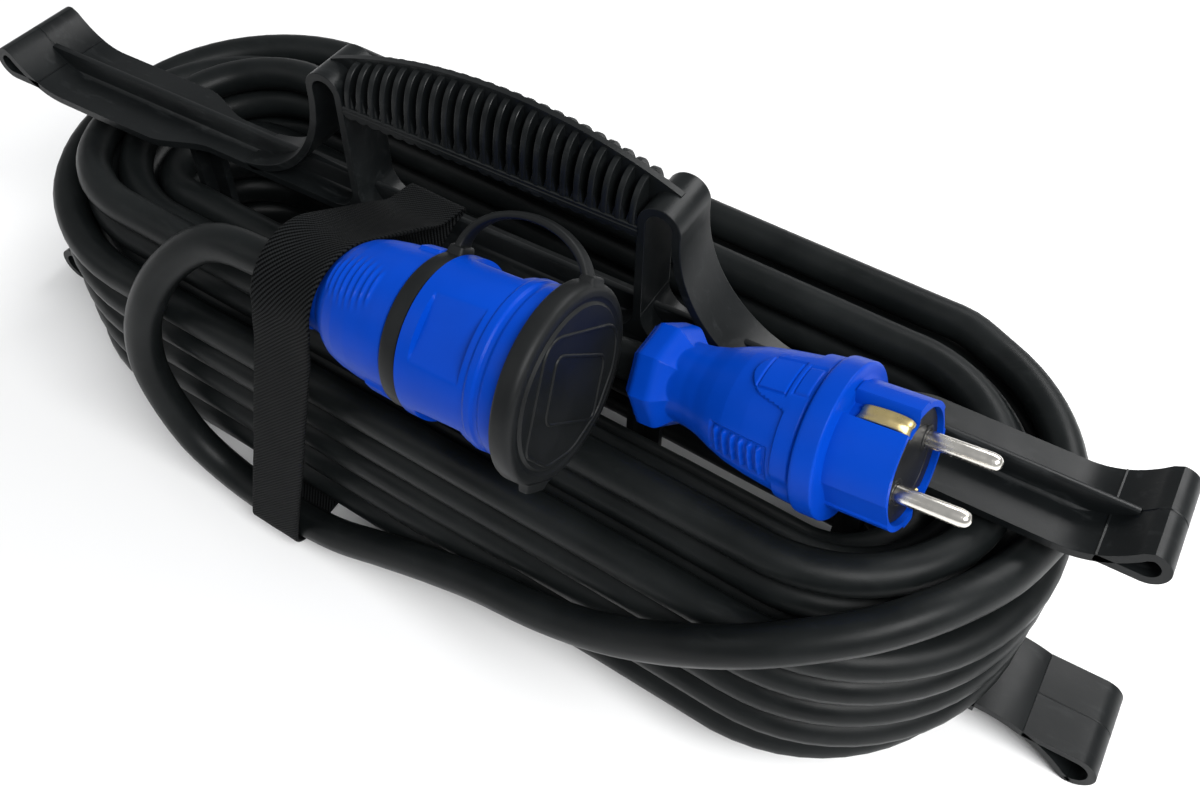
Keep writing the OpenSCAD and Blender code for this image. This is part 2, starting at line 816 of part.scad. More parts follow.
// Arched rubber tether from the ring to the cap's rim, flat in section
module cap_tether() {
    span = (tether_far - tether_mid) / 2;
    base = ring_groove_r + 4;
    cap_side = cap_r + 1.7 - base;
    color(rubber)
        on_socket()
            rotate([0, 0, 180 - tether_angle])
                translate([base, 0, tether_mid + span])
                    rotate([-90, 0, 0])
                        linear_extrude(height = 5, center = true, convexity = 4)
                            intersection() {
                                scale([0.72, 1])
                                    difference() {
                                        circle(r = span + 1.6, $fn = round_fn);
                                        circle(r = span - 1.6, $fn = round_fn);
                                    }
                                polygon([
                                    [0, 0], [0, span + 3], [span + 3, span + 3],
                                    [span + 3, -span - 3], [cap_side, -span - 3], [cap_side, 0]
                                ]);
                            }
}

CAP_OUTSIDE = [
    [skirt_start, cap_r - 0.6], [skirt_start + 0.6, cap_r], [cap_end - 2.2, cap_r],
    [cap_end - 0.7, cap_r - 0.7], [cap_end, cap_r - 2.2]
];

module cap() {
    color(rubber)
        on_socket()
            difference() {
                union() {
                    turned(CAP_OUTSIDE);
                    rotate([0, 0, 180 - tether_angle])
                        block([2.4, 7, 6], [cap_r + 0.3, 0, tether_far]);
                }
                rod(skirt_bore_r, skirt_start - 1, lip_front + 0.3, round_fn);
            }
}

// ================= plug =================

PLUG_OUTSIDE = [
    [2, 12], [13, 12], [17, 12.3], [22, 13.6], [27, 15.6], [33, 17.6], [40, 18.9], [48, 20],
    [57, 20.6], [flange_start, plug_flange_d / 2 - 0.8], [flange_start + 1, plug_flange_d / 2],
    [flange_end - 1, plug_flange_d / 2], [flange_end, plug_flange_d / 2 - 1],
    [flange_end, plug_face_d / 2], [plug_rim, plug_face_d / 2]
];
PLUG_INSIDE = [
    [-1, cable_hole_r], [14, cable_hole_r], [19, 8.4], [24, 11], [30, 14.2], [36, 15.4],
    [48, plug_insert_r + 0.1], [plug_rim + 1, plug_insert_r + 0.1]
];

module plug_body() {
    color(blue)
        on_plug()
            difference() {
                union() {
                    turned(PLUG_OUTSIDE);
                    collar(16.4, 13, 2.6);
                }
                turned(PLUG_INSIDE);
                // Windows for the earth contacts, above and below
                for (x = [-1, 1])
                    block([6, 8, 30], [x * plug_face_d / 2, 0, flange_end + 16]);
                // Guide grooves at both sides
                for (y = [-1, 1])
                    block([9, 2, 30], [0, y * (plug_face_d / 2 + 0.1), flange_end + 16.5]);
            }
}

module plug_insert() {
    color(moulding)
        on_plug()
            difference() {
                union() {
                    rod(plug_insert_r, plug_insert_start, plug_face, round_fn);
                    tongue(34, plug_insert_start + 0.05);
                }
                for (y = [-1, 1]) translate([0, y * pin_pitch / 2, 0]) {
                    rod(pin_shank_r + 0.03, plug_insert_start - 1, plug_face + 1);
                    rod(pin_tail_r + 0.03, plug_insert_start - 9, plug_insert_start);
                }
                for (x = [-1, 1])
                    block([2.4, 8, 40], [x * (plug_insert_r - 0.4), 0, flange_end + 20]);
            }
}

// Pins with round tips and drilled rear ends that take the cores
module plug_pins() {
    tip = plug_rim + pin_reach;
    color(nickel)
        on_plug()
            for (y = [-1, 1])
                translate([0, y * pin_pitch / 2, 0])
                    difference() {
                        union() {
                            rod(pin_d / 2, plug_face - 1, tip - pin_d / 2);
                            translate([0, 0, tip - pin_d / 2]) sphere(d = pin_d, $fn = fine_fn);
                            rod(pin_shank_r, plug_insert_start - 1, plug_face);
                            rod(pin_tail_r, plug_insert_start - 8, plug_insert_start - 0.1);
                        }
                        rod(1.95, plug_insert_start - 9, plug_insert_start - 3);
                        translate([0, 0, plug_insert_start - 4.2])
                            rotate([0, 90, 0])
                                translate([0, 0, -5]) cylinder(r = 1.5, h = 5, $fn = fine_fn);
                    }
}

module plug_terminal_screws() {
    color(nickel)
        on_plug()
            for (y = [-1, 1])
                translate([0, y * pin_pitch / 2, plug_insert_start - 4.2])
                    rotate([0, 90, 0])
                        translate([0, 0, -6.2]) {
                            cylinder(r = 1.45, h = 4, $fn = fine_fn);
                            translate([0, 0, -1.2]) cylinder(r = 2.4, h = 1.2, $fn = fine_fn);
                        }
}

// Earth strips in the windows, hooked into the face
module plug_earth_contacts() {
    r = plug_insert_r - 1.5;
    color(brass)
        on_plug()
            for (a = [0, 180])
                rotate([0, 0, a])
                    block([1.2, 7, plug_rim - flange_end - 2],
                          [r + 0.6, 0, (flange_end + plug_rim) / 2]);
}

module plug_cord_clamp() {
    on_plug() saddle(35, 42);
}

module plug_clamp_screws() {
    on_plug() saddle_screws(38.5);
}

module plug_cores() {
    on_plug() cores(44, plug_insert_start - 8.5);
}

frame_top_bar();
frame_bottom_bar();
frame_grip();
frame_leg_left();
frame_leg_right();
frame_post_left();
frame_post_right();
frame_core_left();
frame_core_right();
cord_coil();
socket_lead();
plug_lead();
strap();
socket_body();
socket_insert();
socket_contacts();
socket_earth_clips();
socket_terminal_screws();
socket_cord_clamp();
socket_clamp_screws();
socket_centre_screw();
socket_cores();
cap_ring();
cap_tether();
cap();
plug_body();
plug_insert();
plug_pins();
plug_earth_contacts();
plug_terminal_screws();
plug_cord_clamp();
plug_clamp_screws();
plug_cores();
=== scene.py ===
"""Shore power cord wound on an H-shaped carrying frame: the looks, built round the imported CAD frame.

Sizes in this file are millimetres in the CAD model's axes until a mesh is made, which is in metres.
"""
import bpy
import math
import numpy as np
from mathutils import Matrix, Vector, noise


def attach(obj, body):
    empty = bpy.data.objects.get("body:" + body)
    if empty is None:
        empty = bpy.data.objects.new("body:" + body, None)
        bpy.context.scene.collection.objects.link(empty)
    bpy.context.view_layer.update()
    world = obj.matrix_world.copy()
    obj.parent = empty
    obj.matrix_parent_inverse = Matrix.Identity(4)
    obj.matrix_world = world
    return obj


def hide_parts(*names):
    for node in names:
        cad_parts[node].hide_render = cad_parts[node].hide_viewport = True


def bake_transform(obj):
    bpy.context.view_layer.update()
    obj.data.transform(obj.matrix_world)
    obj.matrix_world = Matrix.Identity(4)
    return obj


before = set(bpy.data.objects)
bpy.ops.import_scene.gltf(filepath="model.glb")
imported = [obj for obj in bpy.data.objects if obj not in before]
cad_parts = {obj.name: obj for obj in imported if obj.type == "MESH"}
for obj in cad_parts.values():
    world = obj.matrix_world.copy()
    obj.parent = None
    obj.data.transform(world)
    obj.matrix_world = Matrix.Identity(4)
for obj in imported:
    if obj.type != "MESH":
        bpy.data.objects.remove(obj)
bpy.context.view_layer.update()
HOLDER, CAP_BODY = "holder", "cap"
MM = 0.001
HAIR = 0.02    # millimetres: a radius or a gap too small to see, where a surface closes on itself

# ---------------------------------------------------------------- camera
FOCAL_PX, FRAME_PX, SENSOR = 1171.9, 1200, 36
AZ, EL, ROLL = (math.radians(a) for a in (29.76, 50.474, 1.238))
TARGET = Vector((37.37, -1.25, 64)) * MM
DISTANCE = 413.19 * MM
back = Vector((math.sin(AZ) * math.cos(EL), -math.cos(AZ) * math.cos(EL), math.sin(EL)))
side0 = Vector((math.cos(AZ), math.sin(AZ), 0))
up0 = back.cross(side0)
side = math.cos(ROLL) * side0 + math.sin(ROLL) * up0
up = -math.sin(ROLL) * side0 + math.cos(ROLL) * up0
cam_data = bpy.data.cameras.new("camera")
cam_data.sensor_width = SENSOR
cam_data.lens = SENSOR * FOCAL_PX / FRAME_PX
cam = bpy.data.objects.new("camera", cam_data)
bpy.context.scene.collection.objects.link(cam)
turn = Matrix((side, up, back)).transposed()
cam.matrix_world = Matrix.Translation(TARGET + back * DISTANCE) @ turn.to_4x4()
bpy.context.scene.camera = cam

# ---------------------------------------------------------------- sizes repeated from the CAD source
CORD_D = 12.6
CORD_R = CORD_D / 2
CORE_HALF = 143
STAND_H = 16.3
BAR_W, TIP_W, WALL = 18.6, 33, 2.8
WEB_H, WEB_T = 7.7, 2.6
ROW_PITCH = CORD_D + 0.6
OUTER_PITCH = ROW_PITCH + 1.4
COLUMN_PITCH = CORD_D + 0.45
BORE_HALF = 21
COIL_AT, COIL_YAW = (-3.5, 7.2), math.radians(-2.7)
COIL_X = CORE_HALF - 15
ROW_ZERO_Z = STAND_H + 0.5 + CORD_R
COIL_TOP = ROW_ZERO_Z + 6 * ROW_PITCH + CORD_R
OUTER_RADIUS = BORE_HALF + CORD_R + 3 * COLUMN_PITCH
CEILING_Z = COIL_TOP + 3.1
TOP_Z = CEILING_Z + WALL
STRIP_Z = TOP_Z + 43.9
GRIP_HALF = 52.6
HUMP_R = 7
HUMP_X, HUMP_Z = GRIP_HALF + HUMP_R, STRIP_Z + 2.6
FACE_Y = -OUTER_RADIUS - CORD_D - 0.8
INNER_Y = -BORE_HALF - CORD_R


def on_coil(x, y, z):
    """From the winding's own axes, which lie askew on the frame, to the frame's."""
    c, s = math.cos(COIL_YAW), math.sin(COIL_YAW)
    return Vector((COIL_AT[0] + x * c - y * s, COIL_AT[1] + x * s + y * c, z))


def into_coil(x, y):
    """From the frame's axes to the winding's own, in plan."""
    c, s = math.cos(COIL_YAW), math.sin(COIL_YAW)
    x, y = x - COIL_AT[0], y - COIL_AT[1]
    return x * c + y * s, y * c - x * s


def axis_matrix(at, pitch, yaw, roll=0):
    """Local Z runs along the socket or plug from its rear; local -X is up."""
    turn = (Matrix.Rotation(math.radians(yaw), 4, "Z")
            @ Matrix.Rotation(math.radians(90 - pitch), 4, "Y")
            @ Matrix.Rotation(math.radians(roll), 4, "Z"))
    return Matrix.Translation(Vector(at)) @ turn


SOCKET = axis_matrix((-52.4, -54.5, COIL_TOP + 22.3), pitch=4.4, yaw=-0.7)
PLUG = axis_matrix((69, -24.8, COIL_TOP + 14), pitch=11.3, yaw=-4.7, roll=7.9)
SOCKET_AXIS = SOCKET.to_3x3() @ Vector((0, 0, 1))
PLUG_AXIS = PLUG.to_3x3() @ Vector((0, 0, 1))


# ---------------------------------------------------------------- materials
def nodes_of(name):
    """New material, with its node tree and its main shader."""
    mat = bpy.data.materials.new(name)
    mat.use_nodes = True
    tree = mat.node_tree
    return mat, tree, tree.nodes["Principled BSDF"]


def add(tree, kind, **values):
    """New node; each value goes to the property or the input of that name."""
    n = tree.nodes.new(kind)
    for key, value in values.items():
        if hasattr(n, key) and key not in n.inputs:
            setattr(n, key, value)
        else:
            n.inputs[key].default_value = value
    return n


def ramp(tree, source, low, high):
    """Colours between two stops, each (position, colour)."""
    n = tree.nodes.new("ShaderNodeValToRGB")
    for i, (position, colour) in enumerate((low, high)):
        element = n.color_ramp.elements[i]
        element.position, element.color = position, (*colour, 1)
    tree.links.new(source, n.inputs[0])
    return n.outputs[0]


def spread(tree, source, low, high, out_low, out_high):
    """Values from low to high brought to out_low to out_high."""
    n = add(tree, "ShaderNodeMapRange")
    for key, value in zip(("From Min", "From Max", "To Min", "To Max"), (low, high, out_low, out_high)):
        n.inputs[key].default_value = value
    tree.links.new(source, n.inputs["Value"])
    return n.outputs["Result"]


def object_noise(tree, scale, detail, rough=0.55, stretch=(1, 1, 1), distortion=0.0):
    """Noise in the object's own axes; scale is per metre."""
    coords = add(tree, "ShaderNodeTexCoord")
    mapping = add(tree, "ShaderNodeMapping", Scale=stretch)
    n = add(tree, "ShaderNodeTexNoise", Scale=scale, Detail=detail, Roughness=rough,
            Distortion=distortion)
    tree.links.new(coords.outputs["Object"], mapping.inputs["Vector"])
    tree.links.new(mapping.outputs[0], n.inputs["Vector"])
    return n.outputs["Fac"]


def bump(tree, bsdf, heights):
    """Chain of bumps: (height output, strength, distance in metres)."""
    last = None
    for height, strength, distance in heights:
        b = add(tree, "ShaderNodeBump", Strength=strength, Distance=distance)
        tree.links.new(height, b.inputs["Height"])
        if last:
            tree.links.new(last, b.inputs["Normal"])
        last = b.outputs["Normal"]
    tree.links.new(last, bsdf.inputs["Normal"])


def mix_by(tree, factor, source, colour):
    """From the source's colour to a plain one, by factor. A mix node's colours are sockets 6, 7 and 2."""
    n = add(tree, "ShaderNodeMix", data_type="RGBA")
    tree.links.new(factor, n.inputs["Factor"])
    tree.links.new(source, n.inputs[6])
    n.inputs[7].default_value = (*colour, 1)
    return n.outputs[2]


def rubber(name, dark, light, roughness, grain, specular, scuff=0.0, mottling=38):
    """Moulded rubber or plastic: mottled colour, uneven gloss, fine grain and scuffed high spots."""
    mat, tree, bsdf = nodes_of(name)
    bsdf.inputs["Specular IOR Level"].default_value = specular
    broad = object_noise(tree, mottling, 5)
    colour = ramp(tree, broad, (0.3, dark), (0.7, light))
    if scuff:
        streaks = object_noise(tree, 260, 6, 0.7, (0.25, 1, 1), 0.6)
        mask = ramp(tree, streaks, (0.56, (0, 0, 0)), (0.72, (scuff, scuff, scuff)))
        pale = tuple(min(1, v * 2.6 + 0.02) for v in light)
        colour = mix_by(tree, mask, colour, pale)
    tree.links.new(colour, bsdf.inputs["Base Color"])
    gloss = spread(tree, broad, 0.3, 0.7, roughness - 0.07, roughness + 0.08)
    tree.links.new(gloss, bsdf.inputs["Roughness"])
    bump(tree, bsdf, [(object_noise(tree, 2600, 2), grain, 0.00012),
                      (object_noise(tree, 140, 3), 0.12, 0.0004)])
    return mat


SHEATH = rubber("sheath_rubber", (0.0036, 0.0045, 0.0047), (0.0074, 0.0088, 0.0090),
                roughness=0.40, grain=0.25, specular=0.13, scuff=0.10)
MOULDING = rubber("frame_plastic", (0.0036, 0.0044, 0.0048), (0.0072, 0.0084, 0.0088),
                  roughness=0.36, grain=0.14, specular=0.17, scuff=0.30)
BLUE = rubber("blue_rubber", (0.0004, 0.037, 0.33), (0.0006, 0.046, 0.40),
              roughness=0.34, grain=0.10, specular=0.06, mottling=24)
BLACK_RUBBER = rubber("black_rubber", (0.0040, 0.0047, 0.0050), (0.0080, 0.0088, 0.0092),
                      roughness=0.46, grain=0.15, specular=0.16, scuff=0.06)
INSERT = rubber("insert_plastic", (0.004, 0.0045, 0.005), (0.008, 0.0085, 0.009),
                roughness=0.38, grain=0.25, specular=0.2)


def metal(name, colour, roughness):
    """Plated or bare metal with faint patches and drawn lines."""
    mat, tree, bsdf = nodes_of(name)
    bsdf.inputs["Metallic"].default_value = 1.0
    patches = object_noise(tree, 220, 4)
    dull = tuple(v * 0.86 for v in colour)
    tree.links.new(ramp(tree, patches, (0.3, dull), (0.7, colour)), bsdf.inputs["Base Color"])
    gloss = spread(tree, patches, 0.3, 0.7, roughness - 0.05, roughness + 0.1)
    tree.links.new(gloss, bsdf.inputs["Roughness"])
    bump(tree, bsdf, [(object_noise(tree, 1200, 3, 0.6, (0.1, 1, 1)), 0.1, 0.00008)])
    return mat


NICKEL = metal("nickel_plate", (0.80, 0.77, 0.71), 0.2)
BRASS = metal("brass_strip", (0.80, 0.64, 0.30), 0.26)


def webbing_material():
    """Twill webbing: UV is (metres along, metres across)."""
    mat, tree, bsdf = nodes_of("webbing_twill")
    bsdf.inputs["Sheen Weight"].default_value = 0.005
    bsdf.inputs["Sheen Roughness"].default_value = 0.5
    bsdf.inputs["Specular IOR Level"].default_value = 0.03
    uv = add(tree, "ShaderNodeUVMap", uv_map="UVMap")
    outs = []
    for angle, scale in ((-52, 286), (38, 430)):
        m = add(tree, "ShaderNodeMapping")
        m.inputs["Rotation"].default_value = (0, 0, math.radians(angle))
        wave = add(tree, "ShaderNodeTexWave", Scale=scale, Distortion=0.4, Detail=1.0)
        tree.links.new(uv.outputs[0], m.inputs["Vector"])
        tree.links.new(m.outputs[0], wave.inputs["Vector"])
        outs.append(wave.outputs["Fac"])
    weave = add(tree, "ShaderNodeMath", operation="MULTIPLY_ADD")
    tree.links.new(outs[1], weave.inputs[0])
    weave.inputs[1].default_value = 0.35
    tree.links.new(outs[0], weave.inputs[2])
    height = weave.outputs[0]
    colour = ramp(tree, height, (0.35, (0.0003, 0.0004, 0.0005)), (1.1, (0.011, 0.012, 0.0125)))
    tree.links.new(colour, bsdf.inputs["Base Color"])
    bsdf.inputs["Roughness"].default_value = 0.62
    bump(tree, bsdf, [(height, 0.75, 0.00025), (object_noise(tree, 90, 3), 0.2, 0.0006)])
    return mat


WEBBING = webbing_material()


# ---------------------------------------------------------------- mesh helpers
def finish_mesh(name, shape, material, replaces, sharp, place=None, body=HOLDER, uvs=None):
    """Piece from a shape in millimetres: placed, shaded, and tied to its body and nodes.

    body is None for a piece that rides on no body.
    """
    verts, faces = shape
    mesh = bpy.data.meshes.new(name)
    points = np.asarray(verts, float)
    if place is not None:
        m = np.array(place)
        points = points @ m[:3, :3].T + m[:3, 3]
    mesh.from_pydata((points * MM).tolist(), [], [list(map(int, f)) for f in faces])
    mesh.validate()
    for p in mesh.polygons:
        p.use_smooth = True
    mesh.set_sharp_from_angle(angle=math.radians(sharp))
    if uvs is not None:
        layer = mesh.uv_layers.new(name="UVMap")
        for loop in mesh.loops:
            layer.data[loop.index].uv = uvs[loop.vertex_index]
    mesh.materials.append(material)
    obj = bpy.data.objects.new(name, mesh)
    bpy.context.scene.collection.objects.link(obj)
    if body:
        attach(obj, body)
    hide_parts(*replaces)
    return obj


def skin(n, k, turned_out=False):
    """Four-sided faces between n rings of k points; turned_out winds them the other way."""
    faces = []
    for i in range(n - 1):
        for j in range(k):
            a, b = i * k + j, i * k + (j + 1) % k
            faces.append((a, a + k, b + k, b) if turned_out else (a, b, b + k, a + k))
    return faces


def loft(rings):
    """Closed shape through rings of equal length: (verts, faces)."""
    n, k = len(rings), len(rings[0])
    ends = [tuple(range(k))[::-1], tuple(range((n - 1) * k, n * k))]
    return np.concatenate(rings), skin(n, k) + ends


class Parts:
    """Collects several shapes into one mesh."""

    def __init__(self):
        self.verts, self.faces, self.count = [], [], 0

    def put(self, shape):
        verts, faces = shape
        self.verts.append(np.asarray(verts, float))
        self.faces += [tuple(v + self.count for v in f) for f in faces]
        self.count += len(verts)
        return self

    def out(self):
        return np.concatenate(self.verts), self.faces


def along_y(outline, w, y=0.0):
    """Outline in X and Z (anticlockwise seen from -Y) drawn out along Y, w wide about y."""
    return loft([np.array([(p[0], y + s * w / 2, p[1]) for p in outline]) for s in (-1, 1)])


def along_z(outline, z0, z1):
    """Outline in X and Y drawn out from z0 to z1."""
    return loft([np.array([(p[0], p[1], z) for p in outline]) for z in (z0, z1)])


def along_x(outline, x0, x1):
    """Outline in Y and Z drawn out from x0 to x1."""
    return loft([np.array([(x, p[0], p[1]) for p in outline]) for x in (x0, x1)])


def mirrored(shape):
    """The shape's twin on the other side of X = 0."""
    verts, faces = shape
    return np.asarray(verts) * (-1, 1, 1), [f[::-1] for f in faces]


def arc(cx, cy, r, a0, a1, n):
    """n + 1 points of an arc from a0 to a1 degrees."""
    return [(cx + r * math.cos(math.radians(a0 + (a1 - a0) * i / n)),
             cy + r * math.sin(math.radians(a0 + (a1 - a0) * i / n))) for i in range(n + 1)]


def ease(a, b, x):
    """0 up to a, 1 from b, and smooth between them."""
    t = np.clip((x - a) / (b - a), 0, 1)
    return t * t * (3 - 2 * t)


def hill(x, a, b, soft):
    """1 between a and b, 0 outside, with soft edges."""
    return ease(a - soft, a + soft, x) * (1 - ease(b - soft, b + soft, x))


def signed_power(v, power):
    """v to a power, keeping its sign: squares off the sine and cosine of a round section."""
    return math.copysign(abs(v) ** power, v)


def unit_tangents(pts, closed=False):
    """Directions along a line of points, which is a loop where closed."""
    step = np.roll(pts, -1, 0) - np.roll(pts, 1, 0) if closed else np.gradient(pts, axis=0)
    return step / np.linalg.norm(step, axis=1)[:, None]


def left_of(tangents):
    """Flat directions turned a quarter to the left."""
    return np.stack([-tangents[:, 1], tangents[:, 0]], 1)


def smooth_path(points, step):
    """Centripetal Catmull-Rom through points, resampled about every step mm."""
    p = [Vector(q) for q in points]
    p = [p[0] * 2 - p[1]] + p + [p[-1] * 2 - p[-2]]
    out = []
    for i in range(1, len(p) - 2):
        q = p[i - 1:i + 3]
        t = [0.0]
        for a, b in zip(q, q[1:]):
            t.append(t[-1] + max((b - a).length, 1e-6) ** 0.5)
        n = max(1, round((q[2] - q[1]).length / step))
        for j in range(n):
            u = t[1] + (t[2] - t[1]) * j / n
            a1 = q[0].lerp(q[1], (u - t[0]) / (t[1] - t[0]))
            a2 = q[1].lerp(q[2], (u - t[1]) / (t[2] - t[1]))
            a3 = q[2].lerp(q[3], (u - t[2]) / (t[3] - t[2]))
            b1 = a1.lerp(a2, (u - t[0]) / (t[2] - t[0]))
            b2 = a2.lerp(a3, (u - t[1]) / (t[3] - t[1]))
            out.append(b1.lerp(b2, (u - t[1]) / (t[2] - t[1])))
    out.append(p[-2])
    return out


# ---------------------------------------------------------------- the cord
# A turn is 24 steps from the middle of the right end: 18 degrees each round the ends, 2 for each long side
TURN_STEPS, STEP_DEG, END_STEPS = 24, 18, 10
BACK_START, LEFT_START, LEFT_END, FRONT_END = 5, 7, 17, 19
CLIMBS = [5, 6, 6, 5]    # turns in each column, from the outside in
TURNS = sum(CLIMBS)


def column_of(k):
    """Column of turn k, counted from the outside."""
    for c in range(3):
        if k < sum(CLIMBS[:c + 1]):
            return c
    return 3


def level(c, m):
    """Height of a column's turn m; every other column is wound downwards."""
    pitch = OUTER_PITCH if c == 0 else ROW_PITCH
    return ROW_ZERO_Z + pitch * (CLIMBS[c] - m if c % 2 == 0 else m)


def coil_point(i):
    """Point of the winding at step i, which may be a fraction."""
    k = min(int(i // TURN_STEPS), TURNS - 1)
    s = i - TURN_STEPS * k
    c = column_of(k)
    m = k - sum(CLIMBS[:c])
    following, before = column_of(k + 1), column_of(max(k - 1, 0))
    climbed = max(0, min(1, (s - LEFT_START) / (LEFT_END - LEFT_START)))
    z = level(c, m) + (level(c, m + 1) - level(c, m)) * climbed
    r = OUTER_RADIUS - COLUMN_PITCH * c
    if s < BACK_START:
        start = OUTER_RADIUS - COLUMN_PITCH * before
        r = start + (r - start) * (s + BACK_START) / END_STEPS
        a, x = STEP_DEG * s, COIL_X
    elif s > FRONT_END:
        r += COLUMN_PITCH * (c - following) * (s - FRONT_END) / END_STEPS
        a, x = STEP_DEG * (s - FRONT_END) - 90, COIL_X
    elif s < LEFT_START:
        a, x = 90, COIL_X - COIL_X * (s - BACK_START)
    elif s <= LEFT_END:
        a, x = 90 + STEP_DEG * (s - LEFT_START), -COIL_X
    else:
        a, x = 270, -COIL_X + COIL_X * (s - LEFT_END)
    a = math.radians(a)
    return Vector((x + r * math.cos(a), r * math.sin(a), z))


def wander(p):
    """The slow unevenness of hand winding; neighbouring turns move together."""
    q = Vector((p.x / 95, p.y / 60, p.z / 70))
    return on_coil(p.x, p.y + 0.9 * noise.noise(q), p.z + 0.75 * noise.noise(q + Vector((7, 3, 1))))


START_STEP, STOP_STEP = BACK_START, TURN_STEPS * (TURNS - 1) + LEFT_END
coil = [wander(coil_point(START_STEP + i / 3)) for i in range(3 * (STOP_STEP - START_STEP) + 1)]
coil_end = coil_point(STOP_STEP) + Vector((1.2 * CORD_D, 0, 0))

# The leads' ways in the winding's axes: Y from FACE_Y and Z from COIL_TOP for the first, X from COIL_X and
# Z from COIL_TOP for the second, Y from INNER_Y and Z from the winding's last level for the third
SOCKET_ROUTE = [
    (-69.6, 14.6, 17.6), (-80.6, 11.3, 9.6), (-90.2, 6.8, -1.6), (-97.4, 2.1, -15.2),
    (-102.8, -0.4, -30.3), (-105, -2, -48.9), (-101.8, -2, -67.3), (-93.1, -2, -83),
    (-80.9, -1.4, -92.5), (-64, -1.4, -96.8), (-45, -1.3, -96.4), (-24.6, -1.2, -92.8),
    (-2.7, -0.2, -84.6), (19.6, 0, -75), (42.6, -0.2, -66.2), (65.9, -1.4, -58.4),
    (88, -1.8, -48.4), (107.1, -1.5, -35.9), (124, 0, -23.4)]
RIGHT_END_ROUTE = [
    (10.2, -75.4, -15.1), (22.8, -68.2, -9.9), (34.4, -59.3, -6.6), (44.4, -48.3, -4.4),
    (52.2, -36.4, -4.3), (58.3, -23.3, -6.2), (62.4, -8.2, -9.3), (64.6, 6.7, -11.6),
    (62.9, 21.2, -12.3), (56.9, 34.7, -12.5), (47.7, 46.7, -12.5), (36.6, 55.9, -12.5),
    (24.4, 61.9, -12.5)]
PLUG_ROUTE = [
    (-37, -0.1, 0), (-23, -0.1, 0.6), (-9, -0.1, 3.2), (5, -0.2, 8.2), (19, -0.4, 14.7),
    (33, -0.7, 21.7), (46, -1, 27.2)]
socket_at, plug_at = SOCKET.translation, PLUG.translation
coil_start = coil_point(START_STEP) + Vector((CORD_D, 0, 0))
socket_lead = smooth_path(
    [socket_at + 16 * SOCKET_AXIS, socket_at, socket_at - CORD_D * SOCKET_AXIS]
    + [on_coil(x, FACE_Y + y, COIL_TOP + z) for x, y, z in SOCKET_ROUTE]
    + [on_coil(COIL_X + x, y, COIL_TOP + z) for x, y, z in RIGHT_END_ROUTE]
    + [on_coil(*coil_start), coil[0]], 5)[:-1]
plug_lead = smooth_path(
    [on_coil(coil_end.x + x, coil_end.y, coil_end.z) for x in range(0, 55, 18)]
    + [on_coil(x, INNER_Y + y, coil_end.z + z) for x, y, z in PLUG_ROUTE]
    + [plug_at - CORD_D * PLUG_AXIS, plug_at, plug_at + 6 * PLUG_AXIS], 5)
route = socket_lead + coil + plug_lead

curve = bpy.data.curves.new("cord", "CURVE")
curve.dimensions = "3D"
curve.bevel_depth = CORD_R * MM
curve.bevel_resolution = 5
curve.use_fill_caps = True
spline = curve.splines.new("POLY")
spline.points.add(len(route) - 1)
for point, p in zip(spline.points, route):
    point.co = (*(p * MM), 1)
spline.use_smooth = True
curve.materials.append(SHEATH)
cord = bpy.data.objects.new("cord", curve)
bpy.context.scene.collection.objects.link(cord)
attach(cord, HOLDER)
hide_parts("cord_coil", "socket_lead", "plug_lead")


# ---------------------------------------------------------------- frame
EDGE_R = 0.5


def frame_piece(name, shape, node, bevel_angle):
    """Moulded piece of the frame; edges sharper than bevel_angle are rounded a little."""
    obj = finish_mesh(name, shape, MOULDING, [node], sharp=30)
    mod = obj.modifiers.new("edges", "BEVEL")
    mod.width = EDGE_R * MM
    mod.segments = 2
    mod.limit_method = "ANGLE"
    mod.angle_limit = math.radians(bevel_angle)
    mod.harden_normals = True


def bar_plan(end_x):
    """Plan of a bar from its middle to its tip, anticlockwise."""
    half, tip = BAR_W / 2, TIP_W / 2
    flare_x, flare_length = CORE_HALF - 22, 24
    edge = [(0, half), (flare_x, half)]
    for i in range(1, 13):
        f = i / 12
        edge.append((flare_x + flare_length * f, half + (tip - half) * f * f * (3 - 2 * f)))
    edge.append((end_x, tip))
    return [(x, -y) for x, y in edge] + edge[::-1]


def ribbed_web(x0, x1, z0, height, up):
    """Rib along a bar, with a fillet at its root and a rounded top."""
    t, fillet = WEB_T / 2, 1.5
    outline = [(-t - fillet, -0.1)]
    for a in (0, 30, 60, 90):
        outline.append((-t - fillet + fillet * math.sin(math.radians(a)),
                        fillet - fillet * math.cos(math.radians(a))))
    outline += [(-t, height - 0.7), (-t + 0.25, height - 0.2), (-t + 0.8, height)]
    outline = [(y, z0 + up * z) for y, z in outline]
    full = outline + [(-y, z) for y, z in outline[::-1]]
    return along_x(full if up > 0 else full[::-1], x0, x1)


def strip_loop(line, width, wall):
    """A strip of the wall's thickness bent along line, with a fine parting groove down its middle."""
    pts = np.array(line)
    h, depth, half = width / 2, 0.22, 0.35
    section = [(-h, 0), (-h + 0.15, 0), (-half, 0), (0, depth), (half, 0), (h - 0.15, 0), (h, 0)]
    rings = []
    for p, n in zip(pts, left_of(unit_tangents(pts))):
        ring = [(p[0] - n[0] * d, y, p[1] - n[1] * d) for y, d in section]
        ring += [(p[0] - n[0] * wall, y, p[1] - n[1] * wall) for y, _ in section[::-1]]
        rings.append(np.array(ring))
    return loft(rings)


